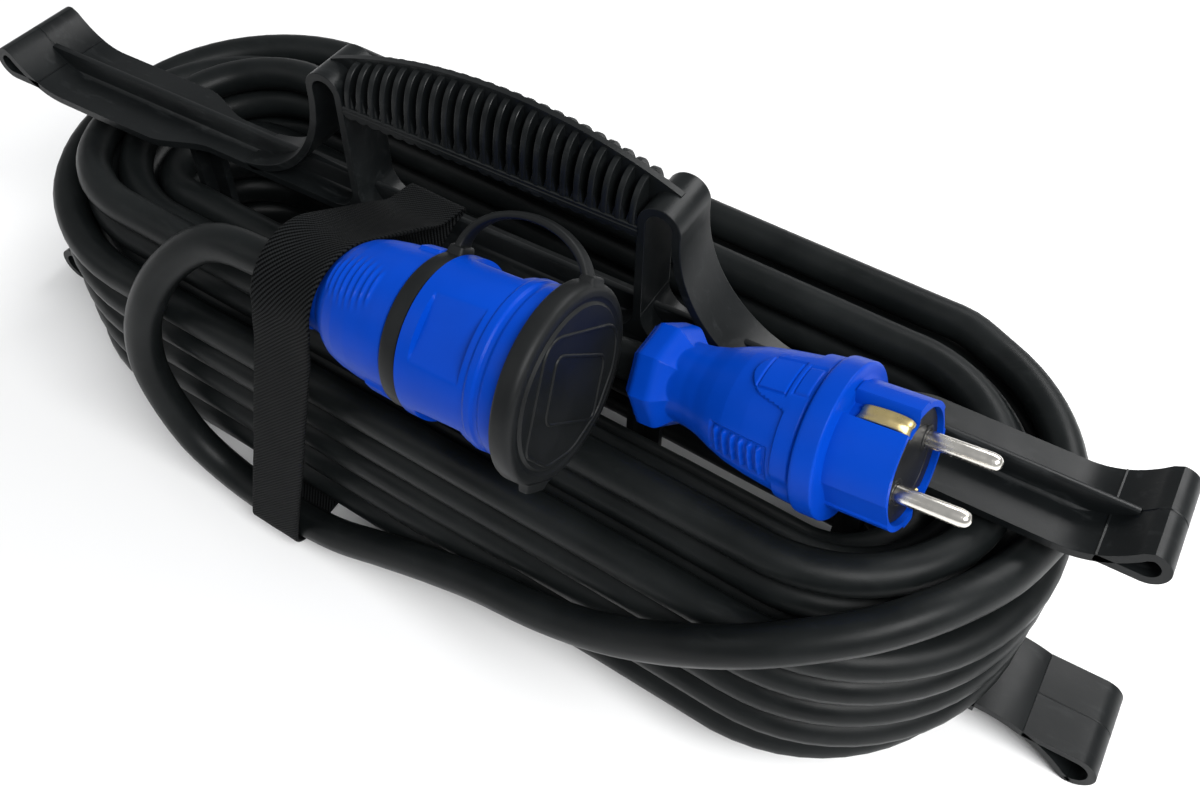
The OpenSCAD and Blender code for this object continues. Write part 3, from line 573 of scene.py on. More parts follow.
def tip_line(tip_x, r, base_z, up, rise_start):
    """Outer line of a bar's tip: off the plate, up a hollow sweep, round the nose and back under it."""
    cx = tip_x - r
    reach = cx - 1.5 - rise_start
    line = [(rise_start + reach * f, 2 * r * f ** 2.3 * (1 - 0.12 * f * (1 - f)))
            for f in np.arange(20) / 20]
    line += arc(cx, r, r, 92, -90, 24)
    line += [(cx - (cx - rise_start - reach / 2) * i / 8, 0) for i in range(1, 9)]
    return [(x, base_z + up * z) for x, z in line]


def bar(tip_x, r, rise_start, web_end, z0, z1, up, name, node):
    """Plate with a rib on one side; both tips carry on flush into their loops."""
    parts = Parts()
    line = tip_line(tip_x, r, z1, up, rise_start)
    half = [along_z(bar_plan(rise_start + 0.3), z0, z1),
            ribbed_web(0, web_end, z1 if up > 0 else z0, WEB_H, up),
            strip_loop(line if up > 0 else line[::-1], TIP_W, WALL)]
    for shape in half:
        parts.put(shape).put(mirrored(shape))
    frame_piece(name, parts.out(), node, 50)


TOP_TIP, BOTTOM_TIP = CORE_HALF + 75, CORE_HALF + 93.6
bar(TOP_TIP, r=6.3, rise_start=TOP_TIP - 30, web_end=TOP_TIP - 12.5, z0=CEILING_Z, z1=TOP_Z, up=1,
    name="top_bar", node="frame_top_bar")
bar(BOTTOM_TIP, r=8.2, rise_start=BOTTOM_TIP - 44, web_end=BOTTOM_TIP - 24, z0=STAND_H - WALL,
    z1=STAND_H, up=-1, name="bottom_bar", node="frame_bottom_bar")


def leg(mirror):
    """Leg of the handle: up from a foot on the bar, over a hump, and down again in a wide sweep."""
    foot_r = 9.5
    leg_turn_z = HUMP_Z - 1.5
    leg_r = leg_turn_z - TOP_Z
    out_x = HUMP_X + HUMP_R
    cx = out_x + leg_r
    sweep_outer = arc(cx, leg_turn_z, leg_r, 180, 262, 26)
    sweep_inner = arc(cx, leg_turn_z, leg_r + WALL, 180, 258, 26)
    outline = (sweep_inner[::-1]
               + [(out_x - WALL, HUMP_Z)] + arc(HUMP_X, HUMP_Z, HUMP_R - WALL, 0, 180, 16)[1:]
               + [(GRIP_HALF + WALL, TOP_Z + foot_r)]
               + arc(GRIP_HALF + WALL + foot_r, TOP_Z + foot_r, foot_r, 180, 268, 9)
               + [(GRIP_HALF + WALL + 9, TOP_Z - 0.5), (GRIP_HALF - 9, TOP_Z - 0.5)]
               + arc(GRIP_HALF - foot_r, TOP_Z + foot_r, foot_r, 272, 360, 9)
               + [(GRIP_HALF, HUMP_Z)] + arc(HUMP_X, HUMP_Z, HUMP_R, 180, 0, 20)[1:]
               + sweep_outer[1:])
    shape = along_y(outline, BAR_W)
    name = "left" if mirror else "right"
    frame_piece("leg_" + name, mirrored(shape) if mirror else shape, "frame_leg_" + name, 35)


leg(False)
leg(True)

CROWN_RISE, CROWN_HALF = 21.6, 62
CROWN_SAG = CROWN_RISE - 9.6
CROWN_R = (CROWN_HALF ** 2 + CROWN_SAG ** 2) / (2 * CROWN_SAG)


def crown_height(x):
    """Height of the grip's arched line over STRIP_Z."""
    return math.sqrt(CROWN_R ** 2 - x * x) - CROWN_R + CROWN_RISE


def grip():
    """Strip under an arched rib, crossed by a row of round ribs with a small gusset at each corner."""
    parts = Parts()
    h, n = BAR_W / 2, 23
    pitch = 2 * (GRIP_HALF - 2) / (n - 1)
    edge = [(-h, -2.6), (-h, -1.35), (-h + 0.3, -1.05), (-h, -0.75), (-h, 0.1), (-h + 0.3, 0.4),
            (-h + 0.9, 0.4), (-h + 1.2, 0)]
    section = [(y, STRIP_Z + z) for y, z in edge]
    outline = section + [(-y, z) for y, z in section[::-1]]
    outline = outline + [(h - 0.6, STRIP_Z - 3), (-h + 0.6, STRIP_Z - 3)]
    parts.put(along_x(outline, -GRIP_HALF - 0.5, GRIP_HALF + 0.5))
    # Scalloped skirt under both edges of the strip
    waves = [(x, STRIP_Z - 2.9 - 1.1 * abs(math.cos(math.pi * x / pitch)) ** 0.6)
             for x in np.linspace(-GRIP_HALF, GRIP_HALF, 240)]
    for y in (-h + 0.9, h - 0.9):
        parts.put(along_y(waves + [(GRIP_HALF, STRIP_Z - 2.5), (-GRIP_HALF, STRIP_Z - 2.5)], 1.1, y))
    # Rib along the middle of the grip, up to the crown's line and down to the humps
    top = [(x, STRIP_Z + crown_height(x)) for x in np.linspace(CROWN_HALF, -CROWN_HALF, 61)]
    web = [(-CROWN_HALF, STRIP_Z + 8.5), (-GRIP_HALF, STRIP_Z - 0.5), (GRIP_HALF, STRIP_Z - 0.5),
           (CROWN_HALF, STRIP_Z + 8.5)] + top
    parts.put(along_y(web, WEB_T - 0.5))
    for i in range(n):
        x = (i - (n - 1) / 2) * pitch
        height = crown_height(x) - 0.9
        outer = []
        for j in range(29):
            a = math.pi * j / 28
            outer.append((h * 0.985 * signed_power(math.cos(a), 0.8), height * math.sin(a) ** 0.85))
        rings = []
        for dx, inset in ((-0.95, 0.22), (-0.75, 0.03), (-0.3, 0), (0.3, 0), (0.75, 0.03), (0.95, 0.22)):
            k, k_up = 1 - inset / h, 1 - inset / height
            rings.append(np.array([(x + dx, y * k, STRIP_Z - 0.2 + z * k_up) for y, z in outer]))
        parts.put(loft(rings))
        gusset = [(0.8, h - 0.5, 0), (2.15, h - 0.7, 0), (1.7, h - 3.6, 0), (0.8, h - 4.4, 0),
                  (0.85, h - 1.3, 5.4)]
        faces = [(0, 1, 4), (1, 2, 4), (2, 3, 4), (3, 0, 4), (3, 2, 1, 0)]
        for s in (-1, 1):
            for d in (-1, 1):
                pts = [(x + d * px, s * py, STRIP_Z + pz) for px, py, pz in gusset]
                parts.put((pts, faces if s * d < 0 else [f[::-1] for f in faces]))
    finish_mesh("grip", parts.out(), MOULDING, ["frame_grip"], sharp=40)


grip()


# ---------------------------------------------------------------- strap
STRAP_X, STRAP_T, STRAP_W = -28.6, 1.4, 22.5
STRAP_LEAN = 0.226    # sideways for each millimetre below the neck


def strap():
    """Loop from the top bar over the socket's neck, down the front, under the coil and up inside it."""
    corner = CORD_R + 0.4 + STRAP_T / 2
    strap_x, neck_side = into_coil(STRAP_X, socket_at.y - 0.4)
    neck_z, neck_r = socket_at.z + 1.7, 16.8
    bar_side = into_coil(STRAP_X, 0)[1]
    edge_side = bar_side - BAR_W / 2
    # Its middle line in the winding's Y and Z, anticlockwise seen from +X
    line = (arc(bar_side + 0.4, TOP_Z + WEB_H + 2.9, 1.6, -90, 81, 6)
            + [(bar_side - 12, TOP_Z + WEB_H + 6.2)]
            + arc(neck_side, neck_z, neck_r, 60, 175.5, 14)
            + arc(FACE_Y - 1.3, COIL_TOP - 96.5, corner + 0.7, 175.5, 279, 12)
            + arc(INNER_Y, ROW_ZERO_Z, corner, 279, 360, 8)
            + [(INNER_Y + corner, COIL_TOP - 8)]
            + [(edge_side - 1.7, CEILING_Z + 0.5), (edge_side - 1.4, TOP_Z + 1.2)]
            + [(bar_side - 3.4, TOP_Z + WEB_H + 1.1)])
    dense = []
    for i, p in enumerate(line):
        q = line[(i + 1) % len(line)]
        n = max(1, round(math.dist(p, q) / 1.5))
        dense += [(p[0] + (q[0] - p[0]) * j / n, p[1] + (q[1] - p[1]) * j / n)
                  for j in range(n)]
    pts = np.array(dense)
    for _ in range(3):
        pts = 0.25 * np.roll(pts, 1, 0) + 0.5 * pts + 0.25 * np.roll(pts, -1, 0)
    normal = -left_of(unit_tangents(pts, closed=True))
    length = np.concatenate([[0], np.cumsum(np.linalg.norm(np.diff(pts, axis=0), axis=1))])
    total = length[-1] + np.linalg.norm(pts[0] - pts[-1])
    n = 20
    half = ([(-1, 0.0), (-0.985, 0.75)] + [(-0.94 + 1.88 * j / n, 1.0) for j in range(n + 1)]
            + [(0.985, 0.75), (1, 0.0)])
    section = half + [(u, -v) for u, v in half[-2:0:-1]]
    verts, uvs = [], []
    for i in range(len(pts) + 1):
        p, q = pts[i % len(pts)], normal[i % len(pts)]
        s = length[i] if i < len(pts) else total
        wobble = 0.35 * noise.noise(Vector((s / 30, 1, 5)))
        for u, v in section:
            ripple = 0.18 * noise.noise(Vector((s / 16, u * 1.2, 2)))
            off = v * STRAP_T / 2 + (ripple if abs(u) < 0.98 else 0)
            # Over the neck the edges ride up on the barrel's shoulder and on the nut
            over = hill(p[1], neck_z - 10, neck_z + 30, 7) * (1 - ease(-30, -15, p[0]))
            off += over * (1.3 * ease(0.2, 1, u) + 1.1 * (1 - ease(-1, -0.2, u)))
            y, z = p[0] + q[0] * off, p[1] + q[1] * off
            lean = STRAP_LEAN * min(0, z - neck_z)
            verts.append(on_coil(strap_x + wobble + lean + u * STRAP_W / 2, y, z))
            uvs.append((s * MM, u * STRAP_W / 2 * MM))
    shape = verts, skin(len(pts) + 1, len(section), turned_out=True)
    obj = finish_mesh("strap_webbing", shape, WEBBING, ["strap"], sharp=60, uvs=uvs)
    return obj, total


strap_piece, strap_length = strap()


# ---------------------------------------------------------------- round bodies with moulded detail
def profile(points, soft):
    """Radius over station: straight between points, with edges eased over about soft mm."""
    t = np.array([p[0] for p in points], float)
    r = np.array([p[1] for p in points], float)

    def radius(x):
        x = np.asarray(x, float)
        total = np.zeros_like(x)
        for d, w in ((-1, 1), (-0.5, 2), (0, 3), (0.5, 2), (1, 1)):
            total += w * np.interp(x + d * soft, t, r)
        return total / 9
    return radius


def octagon(phi, corner_r):
    """Radius of an eight-sided section with corners of radius corner_r."""
    a = np.mod(phi + 22.5, 45) - 22.5
    return corner_r * math.cos(math.radians(22.5)) / np.cos(np.radians(a))


def body_of_radius(stations, radius, rear, front, around=224):
    """Closed body from radius(phi, t) at the stations; rear and front are its end rings, (t, r) pairs."""
    phi = np.linspace(0, 360, around, endpoint=False)
    grid = [radius(phi, np.full(around, t)) for t in stations]
    c, s = -np.cos(np.radians(phi)), -np.sin(np.radians(phi))

    def ring(t, r):
        return np.stack([c * r, s * r, np.full(around, t)], 1)
    rings = ([ring(t, np.minimum(r, grid[0] - HAIR)) for t, r in rear]
             + [ring(t, r) for t, r in zip(stations, grid)]
             + [ring(t, np.minimum(r, grid[-1] - HAIR)) for t, r in front])
    verts = np.concatenate(rings + [[(0, 0, rear[0][0]), (0, 0, front[-1][0])]])
    faces = skin(len(rings), around, turned_out=True)
    first, last = len(verts) - 2, len(verts) - 1
    a = (len(rings) - 1) * around
    for j in range(around):
        faces.append((first, j, (j + 1) % around))
        faces.append((last, a + (j + 1) % around, a + j))
    return verts, faces


def away(phi, centre):
    """Signed angle from centre, in degrees."""
    return np.mod(phi - centre + 180, 360) - 180


def spaced(*spans):
    """Stations from (start, end, step) spans."""
    out = []
    for a, b, step in spans:
        out += list(np.linspace(a, b, max(2, round((b - a) / step) + 1))[:-1])
    return out + [spans[-1][1]]


SOCKET_FACET, FACET_R = 37, 22.25
LIP_FRONT, MOUTH_R, MOUTH_FLOOR = 107.8, 19.5, 90.3
socket_profile = profile([
    (10, 13.2), (26, 13.2), (30, 13.7), (34, 14.6), (36, 16.0), (38, 17.6), (40.4, 19.0), (44.4, 20.2),
    (50, 21.1), (58, 21.9), (64.0, 22.3), (64.1, 20.9), (70.3, 20.9), (70.4, 24.3), (92, 24.7),
    (94, 24.7), (94.4, 25.4), (96.8, 25.4), (97.2, 24.8), (98.6, 24.8), (99.6, 25.5), (103, 25.8),
    (112, 25.8)], 0.35)


def socket_radius(phi, t):
    """Radius of the socket's housing at angle phi and station t."""
    r = socket_profile(t)
    for k in range(4):
        d = away(phi, SOCKET_FACET + 90 * k)
        # Flat recessed facet on the barrel
        flat = FACET_R / np.cos(np.radians(np.clip(d, -60, 60)))
        inside = (np.abs(d) < 60) * hill(t, 75.2, 91.6, 0.22)
        r = r - inside * np.maximum(r - flat, 0)
        if k:
            # Raised pad behind the ring
            r = r + 1.0 * hill(d, -24, 24, 1.2) * hill(t, 56.3, 63.4, 0.3)
    # Finger grooves on the dome: short arcs, longest in the middle
    d = away(phi, 25)
    for i in range(8):
        at = 38.5 + 2.4 * i
        half = 15 + 13 * math.sin(math.pi * (i + 0.7) / 8.4)
        fade = 1 - ease(half * 0.35, half, np.abs(d))
        r = r + 0.62 * fade * np.exp(-((t - at - 0.0012 * d * d) / 0.62) ** 2)
    # Eight-sided collar
    collar = octagon(phi, 16.6) - 1.8 * (1 - ease(10.4, 13, t)) - 1.1 * ease(20.6, 22, t)
    blend = 1 - ease(21.7, 22.3, t)
    return r + blend * np.maximum(collar - r, 0)


stations = spaced((10.6, 13, 0.4), (13, 20.5, 1), (20.5, 22.5, 0.2), (22.5, 33, 1), (33, 63, 0.34),
                  (63, 77, 0.3), (77, 90, 1), (90, 100, 0.25), (100, LIP_FRONT, 1))
housing = body_of_radius(stations, socket_radius, [(13, 0.5), (13, 6.45), (10.7, 6.5)],
                         [(LIP_FRONT, MOUTH_R), (MOUTH_FLOOR, MOUTH_R), (MOUTH_FLOOR, 0.5)])
finish_mesh("socket_housing", housing, BLUE, ["socket_body"], sharp=38, place=SOCKET)


def turned(points, around=160):
    """Surface of revolution from (station, radius) pairs; a radius of HAIR closes it on its axis."""
    phi = np.linspace(0, 2 * math.pi, around, endpoint=False)
    rings = [np.stack([-np.cos(phi) * r, -np.sin(phi) * r, np.full(around, t)], 1) for t, r in points]
    return np.concatenate(rings), skin(len(rings), around, turned_out=True)


def annulus(points, around=160):
    """As turned(), with the last ring joined back to the first: a ring with a hole."""
    verts, faces = turned(points, around)
    last = (len(points) - 1) * around
    for j in range(around):
        k = (j + 1) % around
        faces.append((last + j, j, k, last + k))
    return verts, faces


RING_START, RING_END = 64.3, 70.2
RING_MID = (RING_START + RING_END) / 2
CAP_END, SKIRT_START, CAP_R, SKIRT_BORE = 112.3, 105.2, 29.5, 26.5
RING_GROOVE_R = 21
TETHER_PHI = -40
TETHER_T = CAP_END - 3.7    # station of the tether's root on the cap


def toward(phi, r, t=0.0, across=0.0):
    """Local point at angle phi from up (positive to the front), radius r and station t, moved across."""
    a = math.radians(phi)
    return np.array((-math.cos(a) * r + math.sin(a) * across,
                     -math.sin(a) * r - math.cos(a) * across, t))


def lug(phi, r, t, size):
    """Small lug with its middle at (phi, r, t), softer outwards; size is (outwards, along, across)."""
    c, u, v = toward(phi, r, t), toward(phi, 1), np.array((0, 0, 1))
    w = np.cross(u, v)
    rings = []
    for f, k in ((-0.5, 1.25), (-0.2, 1.08), (0.2, 1.0), (0.42, 0.93), (0.5, 0.8)):
        ring = []
        for a in range(24):
            ang = 2 * math.pi * a / 24
            x = signed_power(math.cos(ang), 0.45) * size[1] / 2 * k
            y = signed_power(math.sin(ang), 0.45) * size[2] / 2 * k
            ring.append(c + u * f * size[0] + v * x + w * y)
        rings.append(np.array(ring))
    return loft(rings)


def cap_ring():
    """Ring in the socket's groove, with the root of the tether."""
    r0, r1 = RING_GROOVE_R, RING_GROOVE_R + 2.6
    parts = Parts().put(annulus([
        (RING_START + 0.1, r0), (RING_START + 0.1, r1 - 0.9), (RING_START + 0.4, r1 - 0.3),
        (RING_START + 1.2, r1), (RING_END - 1.2, r1), (RING_END - 0.4, r1 - 0.3),
        (RING_END - 0.1, r1 - 0.9), (RING_END - 0.1, r0)]))
    parts.put(lug(TETHER_PHI, r1 + 0.5, RING_MID, (3.4, 5.4, 7.4)))
    finish_mesh("tether_ring", parts.out(), BLACK_RUBBER, ["cap_ring"],
                sharp=40, place=SOCKET)


cap_ring()


def tether():
    """Strip from the ring to the cap in one high loop, flared at both roots."""
    span = (TETHER_T - RING_MID) / 2
    base, steps = RING_GROOVE_R + 4, 32
    line = []
    for i in range(steps + 1):
        a = math.pi * (1 - i / steps)
        lift = math.sin(a) * span * 0.72 + base
        line.append(toward(TETHER_PHI, lift, RING_MID + span + span * math.cos(a)))
    line[0] = toward(TETHER_PHI, base - 1.2, RING_MID)
    line[-1] = toward(TETHER_PHI, CAP_R + 1.0, TETHER_T)
    pts = np.array(line)
    across = toward(TETHER_PHI, 0, 0, 1)
    rings = []
    for i, (p, d) in enumerate(zip(pts, unit_tangents(pts))):
        nrm = np.cross(d, across)
        flare = 1 + 0.7 * (math.exp(-i / 1.6) + math.exp(-(steps - i) / 1.6))
        ring = []
        for a in range(20):
            ang = 2 * math.pi * a / 20
            x = signed_power(math.cos(ang), 0.5) * 1.15 * (1 + 0.35 * (flare - 1))
            y = signed_power(math.sin(ang), 0.5) * 2.5 * flare ** 0.6
            ring.append(p + nrm * x + across * y)
        rings.append(np.array(ring))
    obj = finish_mesh("tether", loft(rings), BLACK_RUBBER, ["cap_tether"],
                      sharp=40, place=SOCKET, body=None)
    ends = [SOCKET @ Vector(toward(TETHER_PHI, base, t)) * MM for t in (RING_MID + 4, CAP_END - 6)]
    tuple(ends[0])
    tuple(ends[1])
    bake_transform(obj)


tether()


def outline_ridge(corners):
    """Raised outline on the cap's face through (side, up, rounding), as seen from the front."""
    path = []
    for i, (*middle, corner) in enumerate(corners):
        before, after = corners[i - 1][:2], corners[(i + 1) % len(corners)][:2]
        p, a, b = (np.array(q, float) for q in (middle, before, after))
        u, v = (a - p) / np.linalg.norm(a - p), (b - p) / np.linalg.norm(b - p)
        for j in range(9):
            f = j / 8
            path.append((1 - f) ** 2 * (p + u * corner) + 2 * f * (1 - f) * p + f * f * (p + v * corner))
    path = np.array(path)
    half, height = 0.4, 0.45
    section = [(-half - 0.25, -0.15), (-half, height * 0.75), (-half * 0.5, height),
               (half * 0.5, height), (half, height * 0.75), (half + 0.25, -0.15)]
    verts = []
    for p, n in zip(path, -left_of(unit_tangents(path, closed=True))):
        for d, h in section:
            q = p + n * d
            verts.append((-q[1], -q[0], CAP_END + h))
    k, n = len(section), len(path)
    last = (n - 1) * k
    joint = [(last + j, last + (j + 1) % k, (j + 1) % k, j) for j in range(k)]
    return verts, skin(n, k) + joint


def cap():
    """Round cap over the socket's lip, with two raised outlines, the tether's root and a pull tab."""
    floor_t, side_t, front_t = LIP_FRONT + 0.3, SKIRT_START, CAP_END
    parts = Parts().put(turned([
        (floor_t, HAIR), (floor_t, SKIRT_BORE), (side_t, SKIRT_BORE), (side_t, SKIRT_BORE + 0.8),
        (side_t + 0.1, CAP_R - 1.0), (side_t + 0.5, CAP_R - 0.3), (side_t + 1.2, CAP_R),
        (front_t - 2.6, CAP_R), (front_t - 1.5, CAP_R - 0.3), (front_t - 0.7, CAP_R - 1.0),
        (front_t - 0.35, CAP_R - 2.0), (front_t - 0.3, CAP_R - 3.4), (front_t - 0.75, CAP_R - 4.0),
        (front_t - 0.75, CAP_R - 4.8), (front_t, CAP_R - 5.6), (front_t, HAIR)]))
    parts.put(outline_ridge([(23.2, -4.2, 3), (7.5, 25, 8), (-25.5, 3, 8), (-21, -10.5, 3),
                             (-11, -20.6, 3), (3, -23.1, 3), (15, -17.8, 3)]))
    parts.put(outline_ridge([(13.6, -1.8, 4), (4.4, 16.5, 4), (-17.5, -2.8, 4), (-8.4, -21.4, 4)]))
    parts.put(lug(TETHER_PHI, CAP_R + 0.1, TETHER_T, (2.2, 5, 7.4)))
    # Pull tab opposite the tether
    parts.put(lug(TETHER_PHI + 180, CAP_R + 0.2, CAP_END - 2.4, (3.2, 3.4, 12)))
    finish_mesh("cap_cover", parts.out(), BLACK_RUBBER, ["cap"],
                sharp=38, place=SOCKET, body=CAP_BODY)


cap()

# ---------------------------------------------------------------- plug
PLUG_RIM, PLUG_FACE, PLUG_FRONT_R, INSERT_R = 82.3, 80.8, 18.2, 16.3
PIN_Y = 9.5
plug_profile = profile([
    (0, 12), (13, 12), (17, 12.3), (22, 13.4), (27, 15.2), (33, 17.0), (40, 18.3), (48, 19.3),
    (51.5, 19.8), (56.4, 20.3), (57, 22.2), (58, 22.4), (63.4, 22.6), (64, 21.4),
    (64.1, PLUG_FRONT_R), (90, PLUG_FRONT_R)], 0.28)


def plug_radius(phi, t):
    """Radius of the plug's housing at angle phi and station t."""
    r = plug_profile(t)
    # Oval middle: wider to the sides than up and down
    oval = hill(t, 22, 58, 9)
    r = r + oval * (0.75 * np.sin(np.radians(phi)) ** 2 - 0.55 * np.cos(np.radians(phi)) ** 2)
    # Raised ground in front of the curved step on each side
    for centre in (-2, 178):
        d = away(phi, centre)
        edge = 36.8 + 0.009 * np.minimum(np.abs(d), 24) ** 2 + 8.5 * ease(22, 31, np.abs(d))
        r = r + 0.8 * ease(edge - 0.2, edge + 0.2, t) * (1 - ease(55.4, 56.4, t)) * hill(d, -84, 84, 5)
        # Bare panel with a fine rim, and a second outline beside it
        for t0, t1, half, depth in ((39.8, 49.2, 18.5, 0.5), (50.4, 55.6, 15.5, 0.35)):
            inner = hill(t, t0, t1, 0.16) * hill(d, -half, half, 0.7)
            core = hill(t, t0 + 0.65, t1 - 0.65, 0.16) * hill(d, -half + 2.1, half - 2.1, 0.7)
            r = r - depth * (inner - core)
    # Finger ribs on both sides
    for centre in (76, 256):
        d = away(phi, centre)
        pocket = hill(t, 29.5, 48.5, 0.4) * hill(d, -16, 16, 1.4)
        r = r - 0.75 * pocket
        for i in range(6):
            at = 31.8 + 2.9 * i + 0.03 * d
            r = r + 1.3 * pocket * np.exp(-((t - at) / 0.6) ** 4) * (1 - ease(11, 14, np.abs(d)))
    # Front: slots over the earth strips, guide grooves at the sides
    front = ease(64.2, 64.6, t)
    half_angle = np.degrees(np.arcsin(3.3 / PLUG_FRONT_R))
    for centre in (0, 180):
        d = away(phi, centre)
        r = r - front * hill(d, -half_angle, half_angle, 0.7) * (r - 14.75)
        # Guard beside the slot
        r = r + front * 1.1 * hill(d, -half_angle - 17, -half_angle - 0.7, 1.0)
    half_angle = 14.3
    for centre in (90, 270):
        d = away(phi, centre)
        flat = 17.1 / np.cos(np.radians(np.clip(d, -40, 40)))
        r = r - front * hill(d, -half_angle, half_angle, 0.6) * np.maximum(r - flat, 0)
    collar = octagon(phi, 16.4) - 2.0 * (1 - ease(-0.2, 2.6, t)) - 4.4 * ease(7.4, 14, t)
    blend = 1 - ease(13.4, 14.4, t)
    return r + blend * np.maximum(collar - r, 0)


stations = spaced((0, 1, 0.5), (1, 10, 1), (10, 14, 0.3), (14, 26, 0.8), (26, 49, 0.28), (49, 58, 0.22),
                  (58, 63, 0.8), (63, 65, 0.15), (65, PLUG_RIM - 0.5, 1), (PLUG_RIM - 0.5, PLUG_RIM, 0.25))
housing = body_of_radius(stations, plug_radius, [(2.5, 0.5), (2.5, 6.45), (0.1, 6.5)],
                         [(PLUG_RIM, 16.5), (79, 16.45), (79, 0.5)], 288)
finish_mesh("plug_housing", housing, BLUE, ["plug_body"], sharp=38, place=PLUG)


def insert():
    """Front of the insert in the plug's mouth: two slots, a fine ring, and a collar round each pin."""
    slot_half = math.degrees(math.asin(4 / INSERT_R))

    def radius(phi, t):
        r = np.full_like(phi, INSERT_R)
        for centre in (0, 180):
            d = away(phi, centre)
            slot = INSERT_R - 14.72 / np.cos(np.radians(np.clip(d, -30, 30)))
            r = r - hill(d, -slot_half, slot_half, 0.9) * slot
        return r - 0.35 * ease(PLUG_FACE - 0.35, PLUG_FACE, t)
    t = PLUG_FACE
    parts = Parts().put(body_of_radius(
        [76, 78, t - 0.4, t - 0.2, t], radius, [(76, 1.0)],
        [(t, 11.4), (t - 0.25, 11.2), (t - 0.25, 10.9), (t, 10.7), (t, 0.5)], 240))
    verts, faces = annulus([(t - 0.4, 2.5), (t - 0.4, 4.0), (t + 0.25, 3.8), (t + 0.35, 3.5),
                            (t + 0.35, 2.75), (t + 0.1, 2.5)], 64)
    for y in (-PIN_Y, PIN_Y):
        parts.put((verts + (0, y, 0), faces))
    finish_mesh("plug_face", parts.out(), INSERT, ["plug_insert"], sharp=35, place=PLUG)


insert()


def pins():
    """The two round pins, stepped where they leave the insert and rounded at the tip."""
    tip, r, nose = PLUG_RIM + 19, 2.4, 2.3
    end_r = r - 0.12
    points = [(PLUG_FACE - 3, HAIR), (PLUG_FACE - 3, 2.7), (PLUG_FACE + 0.05, 2.7), (PLUG_FACE + 0.1, r),
              (tip - 2.6, r), (tip - nose, end_r)]
    for a in (15, 30, 45, 60, 72, 82, 88):
        points.append((tip - nose + nose * math.sin(math.radians(a)),
                       max(HAIR, end_r * math.cos(math.radians(a)) ** 0.9)))
    verts, faces = turned(points + [(tip, HAIR)], 48)
    parts = Parts()
    for y in (-PIN_Y, PIN_Y):
        parts.put((verts + (0, y, 0), faces))
    finish_mesh("pins", parts.out(), NICKEL, ["plug_pins"], sharp=40, place=PLUG)


pins()


def earth_strips():
    """Bowed strips in the slots above and below, each hollowed along its middle."""
    line = [(67.2, 14.6), (67.6, 15.5), (68.8, 16.1), (72, 16.6), (76, 16.75), (79, 16.5),
            (80.6, 15.9), (81.3, 15.0), (81.2, 14.2), (80.6, 13.9)]
    section = [(-2.5, 0.1), (-2.3, 0.3), (-1.1, 0.3), (-0.7, 0.12), (0.7, 0.12), (1.1, 0.3),
               (2.3, 0.3), (2.5, 0.1), (2.5, -0.3), (-2.5, -0.3)]
    pts = np.array([p[:2] for p in smooth_path([(t, r, 0) for t, r in line], 0.5)])
    normals = left_of(unit_tangents(pts))
    parts = Parts()
    for s in (-1, 1):
        rings = [np.array([(-s * (p[1] + n[1] * d), y, p[0] + n[0] * d) for y, d in section])
                 for p, n in zip(pts, normals)]
        verts, faces = loft(rings)
        parts.put((verts, faces if s > 0 else [f[::-1] for f in faces]))
    finish_mesh("earth_strips", parts.out(), BRASS, ["plug_earth_contacts"], sharp=35, place=PLUG)


earth_strips()

# Nodes that stay as the CAD made them: looks only
for material, names in (
        (MOULDING, ("frame_post_left", "frame_post_right", "frame_core_left", "frame_core_right")),
        (INSERT, ("socket_insert", "socket_cord_clamp", "plug_cord_clamp")),
        (BRASS, ("socket_contacts", "socket_earth_clips")),
        (NICKEL, ("socket_terminal_screws", "socket_clamp_screws", "socket_centre_screw",
                  "plug_terminal_screws", "plug_clamp_screws")),
        (SHEATH, ("socket_cores", "plug_cores"))):
    for name in names:
        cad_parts[name].data.materials.clear()
        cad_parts[name].data.materials.append(material)

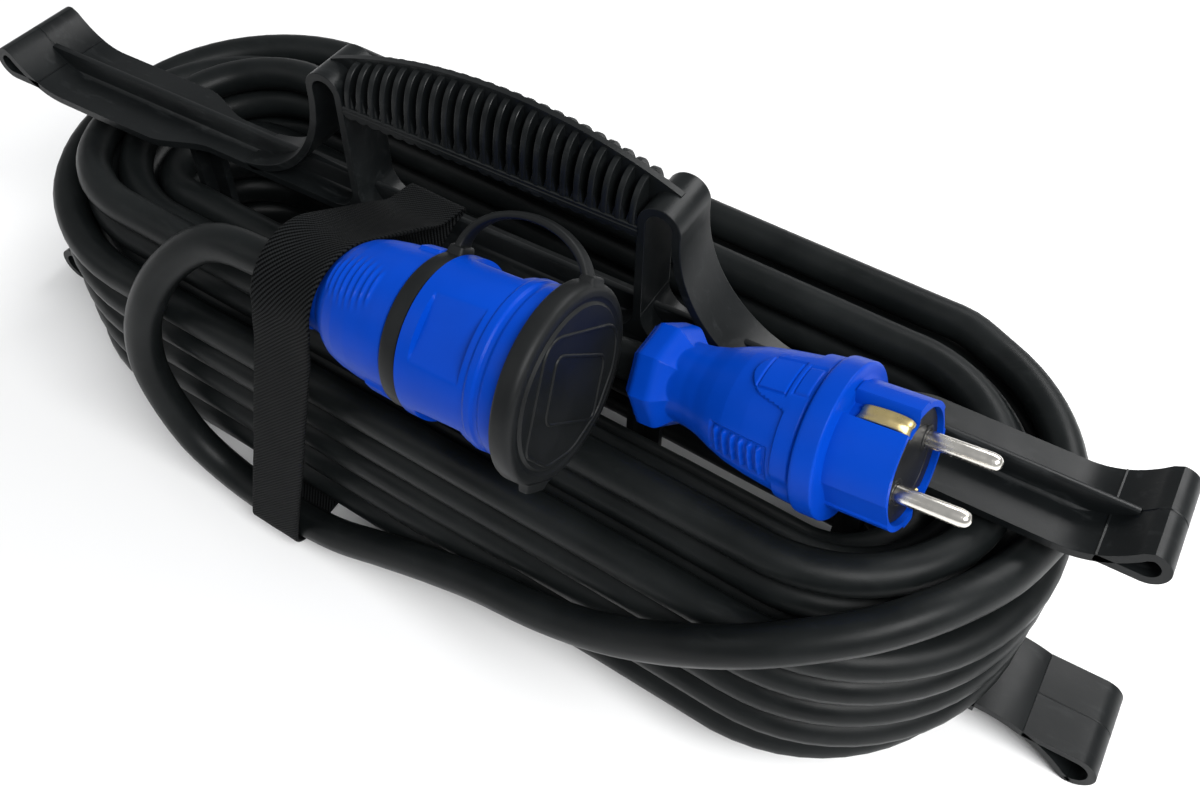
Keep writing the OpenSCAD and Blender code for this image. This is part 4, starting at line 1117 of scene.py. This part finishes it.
# ---------------------------------------------------------------- floor and light
floor_mesh = bpy.data.meshes.new("floor")
half = 6    # metres
floor_mesh.from_pydata([(-half, -half, 0), (half, -half, 0), (half, half, 0), (-half, half, 0)],
                       [], [(0, 1, 2, 3)])
floor = bpy.data.objects.new("floor", floor_mesh)
bpy.context.scene.collection.objects.link(floor)
mat, tree, bsdf = nodes_of("floor_paper")
bsdf.inputs["Base Color"].default_value = (0.92, 0.92, 0.92, 1)
bsdf.inputs["Roughness"].default_value = 0.9
bsdf.inputs["Specular IOR Level"].default_value = 0.1
floor_mesh.materials.append(mat)

# Soft light from all round; the camera, straight or through glass, sees plain white
world = bpy.data.worlds.new("world")
world.use_nodes = True
bpy.context.scene.world = world
tree = world.node_tree
background = tree.nodes["Background"]
background.inputs["Color"].default_value = (0.97, 0.985, 1.0, 1)
background.inputs["Strength"].default_value = 0.42
white = add(tree, "ShaderNodeBackground", Strength=1.0)
white.inputs["Color"].default_value = (1, 1, 1, 1)
path = add(tree, "ShaderNodeLightPath")
either = add(tree, "ShaderNodeMath", operation="MAXIMUM")
mixed = add(tree, "ShaderNodeMixShader")
tree.links.new(path.outputs["Is Camera Ray"], either.inputs[0])
tree.links.new(path.outputs["Is Transmission Ray"], either.inputs[1])
tree.links.new(either.outputs[0], mixed.inputs[0])
tree.links.new(background.outputs[0], mixed.inputs[1])
tree.links.new(white.outputs[0], mixed.inputs[2])
tree.links.new(mixed.outputs[0], tree.nodes["World Output"].inputs["Surface"])


def area_light(name, at, aim, size, power):
    """Rectangular lamp at a place in metres, facing aim."""
    data = bpy.data.lights.new(name, "AREA")
    data.shape = "RECTANGLE"
    data.size, data.size_y = size
    data.energy = power
    obj = bpy.data.objects.new(name, data)
    bpy.context.scene.collection.objects.link(obj)
    obj.location = at
    obj.rotation_mode = "QUATERNION"
    obj.rotation_quaternion = (Vector(aim) - Vector(at)).to_track_quat("-Z", "Y")


area_light("key", (0.75, -0.4, 1.0), (0, 0, 0.08), (0.8, 0.5), 18)
area_light("fill", (-0.7, -0.7, 0.85), (-0.05, 0, 0.08), (0.7, 0.7), 1.6)
area_light("rim", (0.45, 0.85, 0.95), (0.1, 0, 0.1), (0.8, 0.4), 10)

bpy.context.scene.view_settings.view_transform = "Standard"
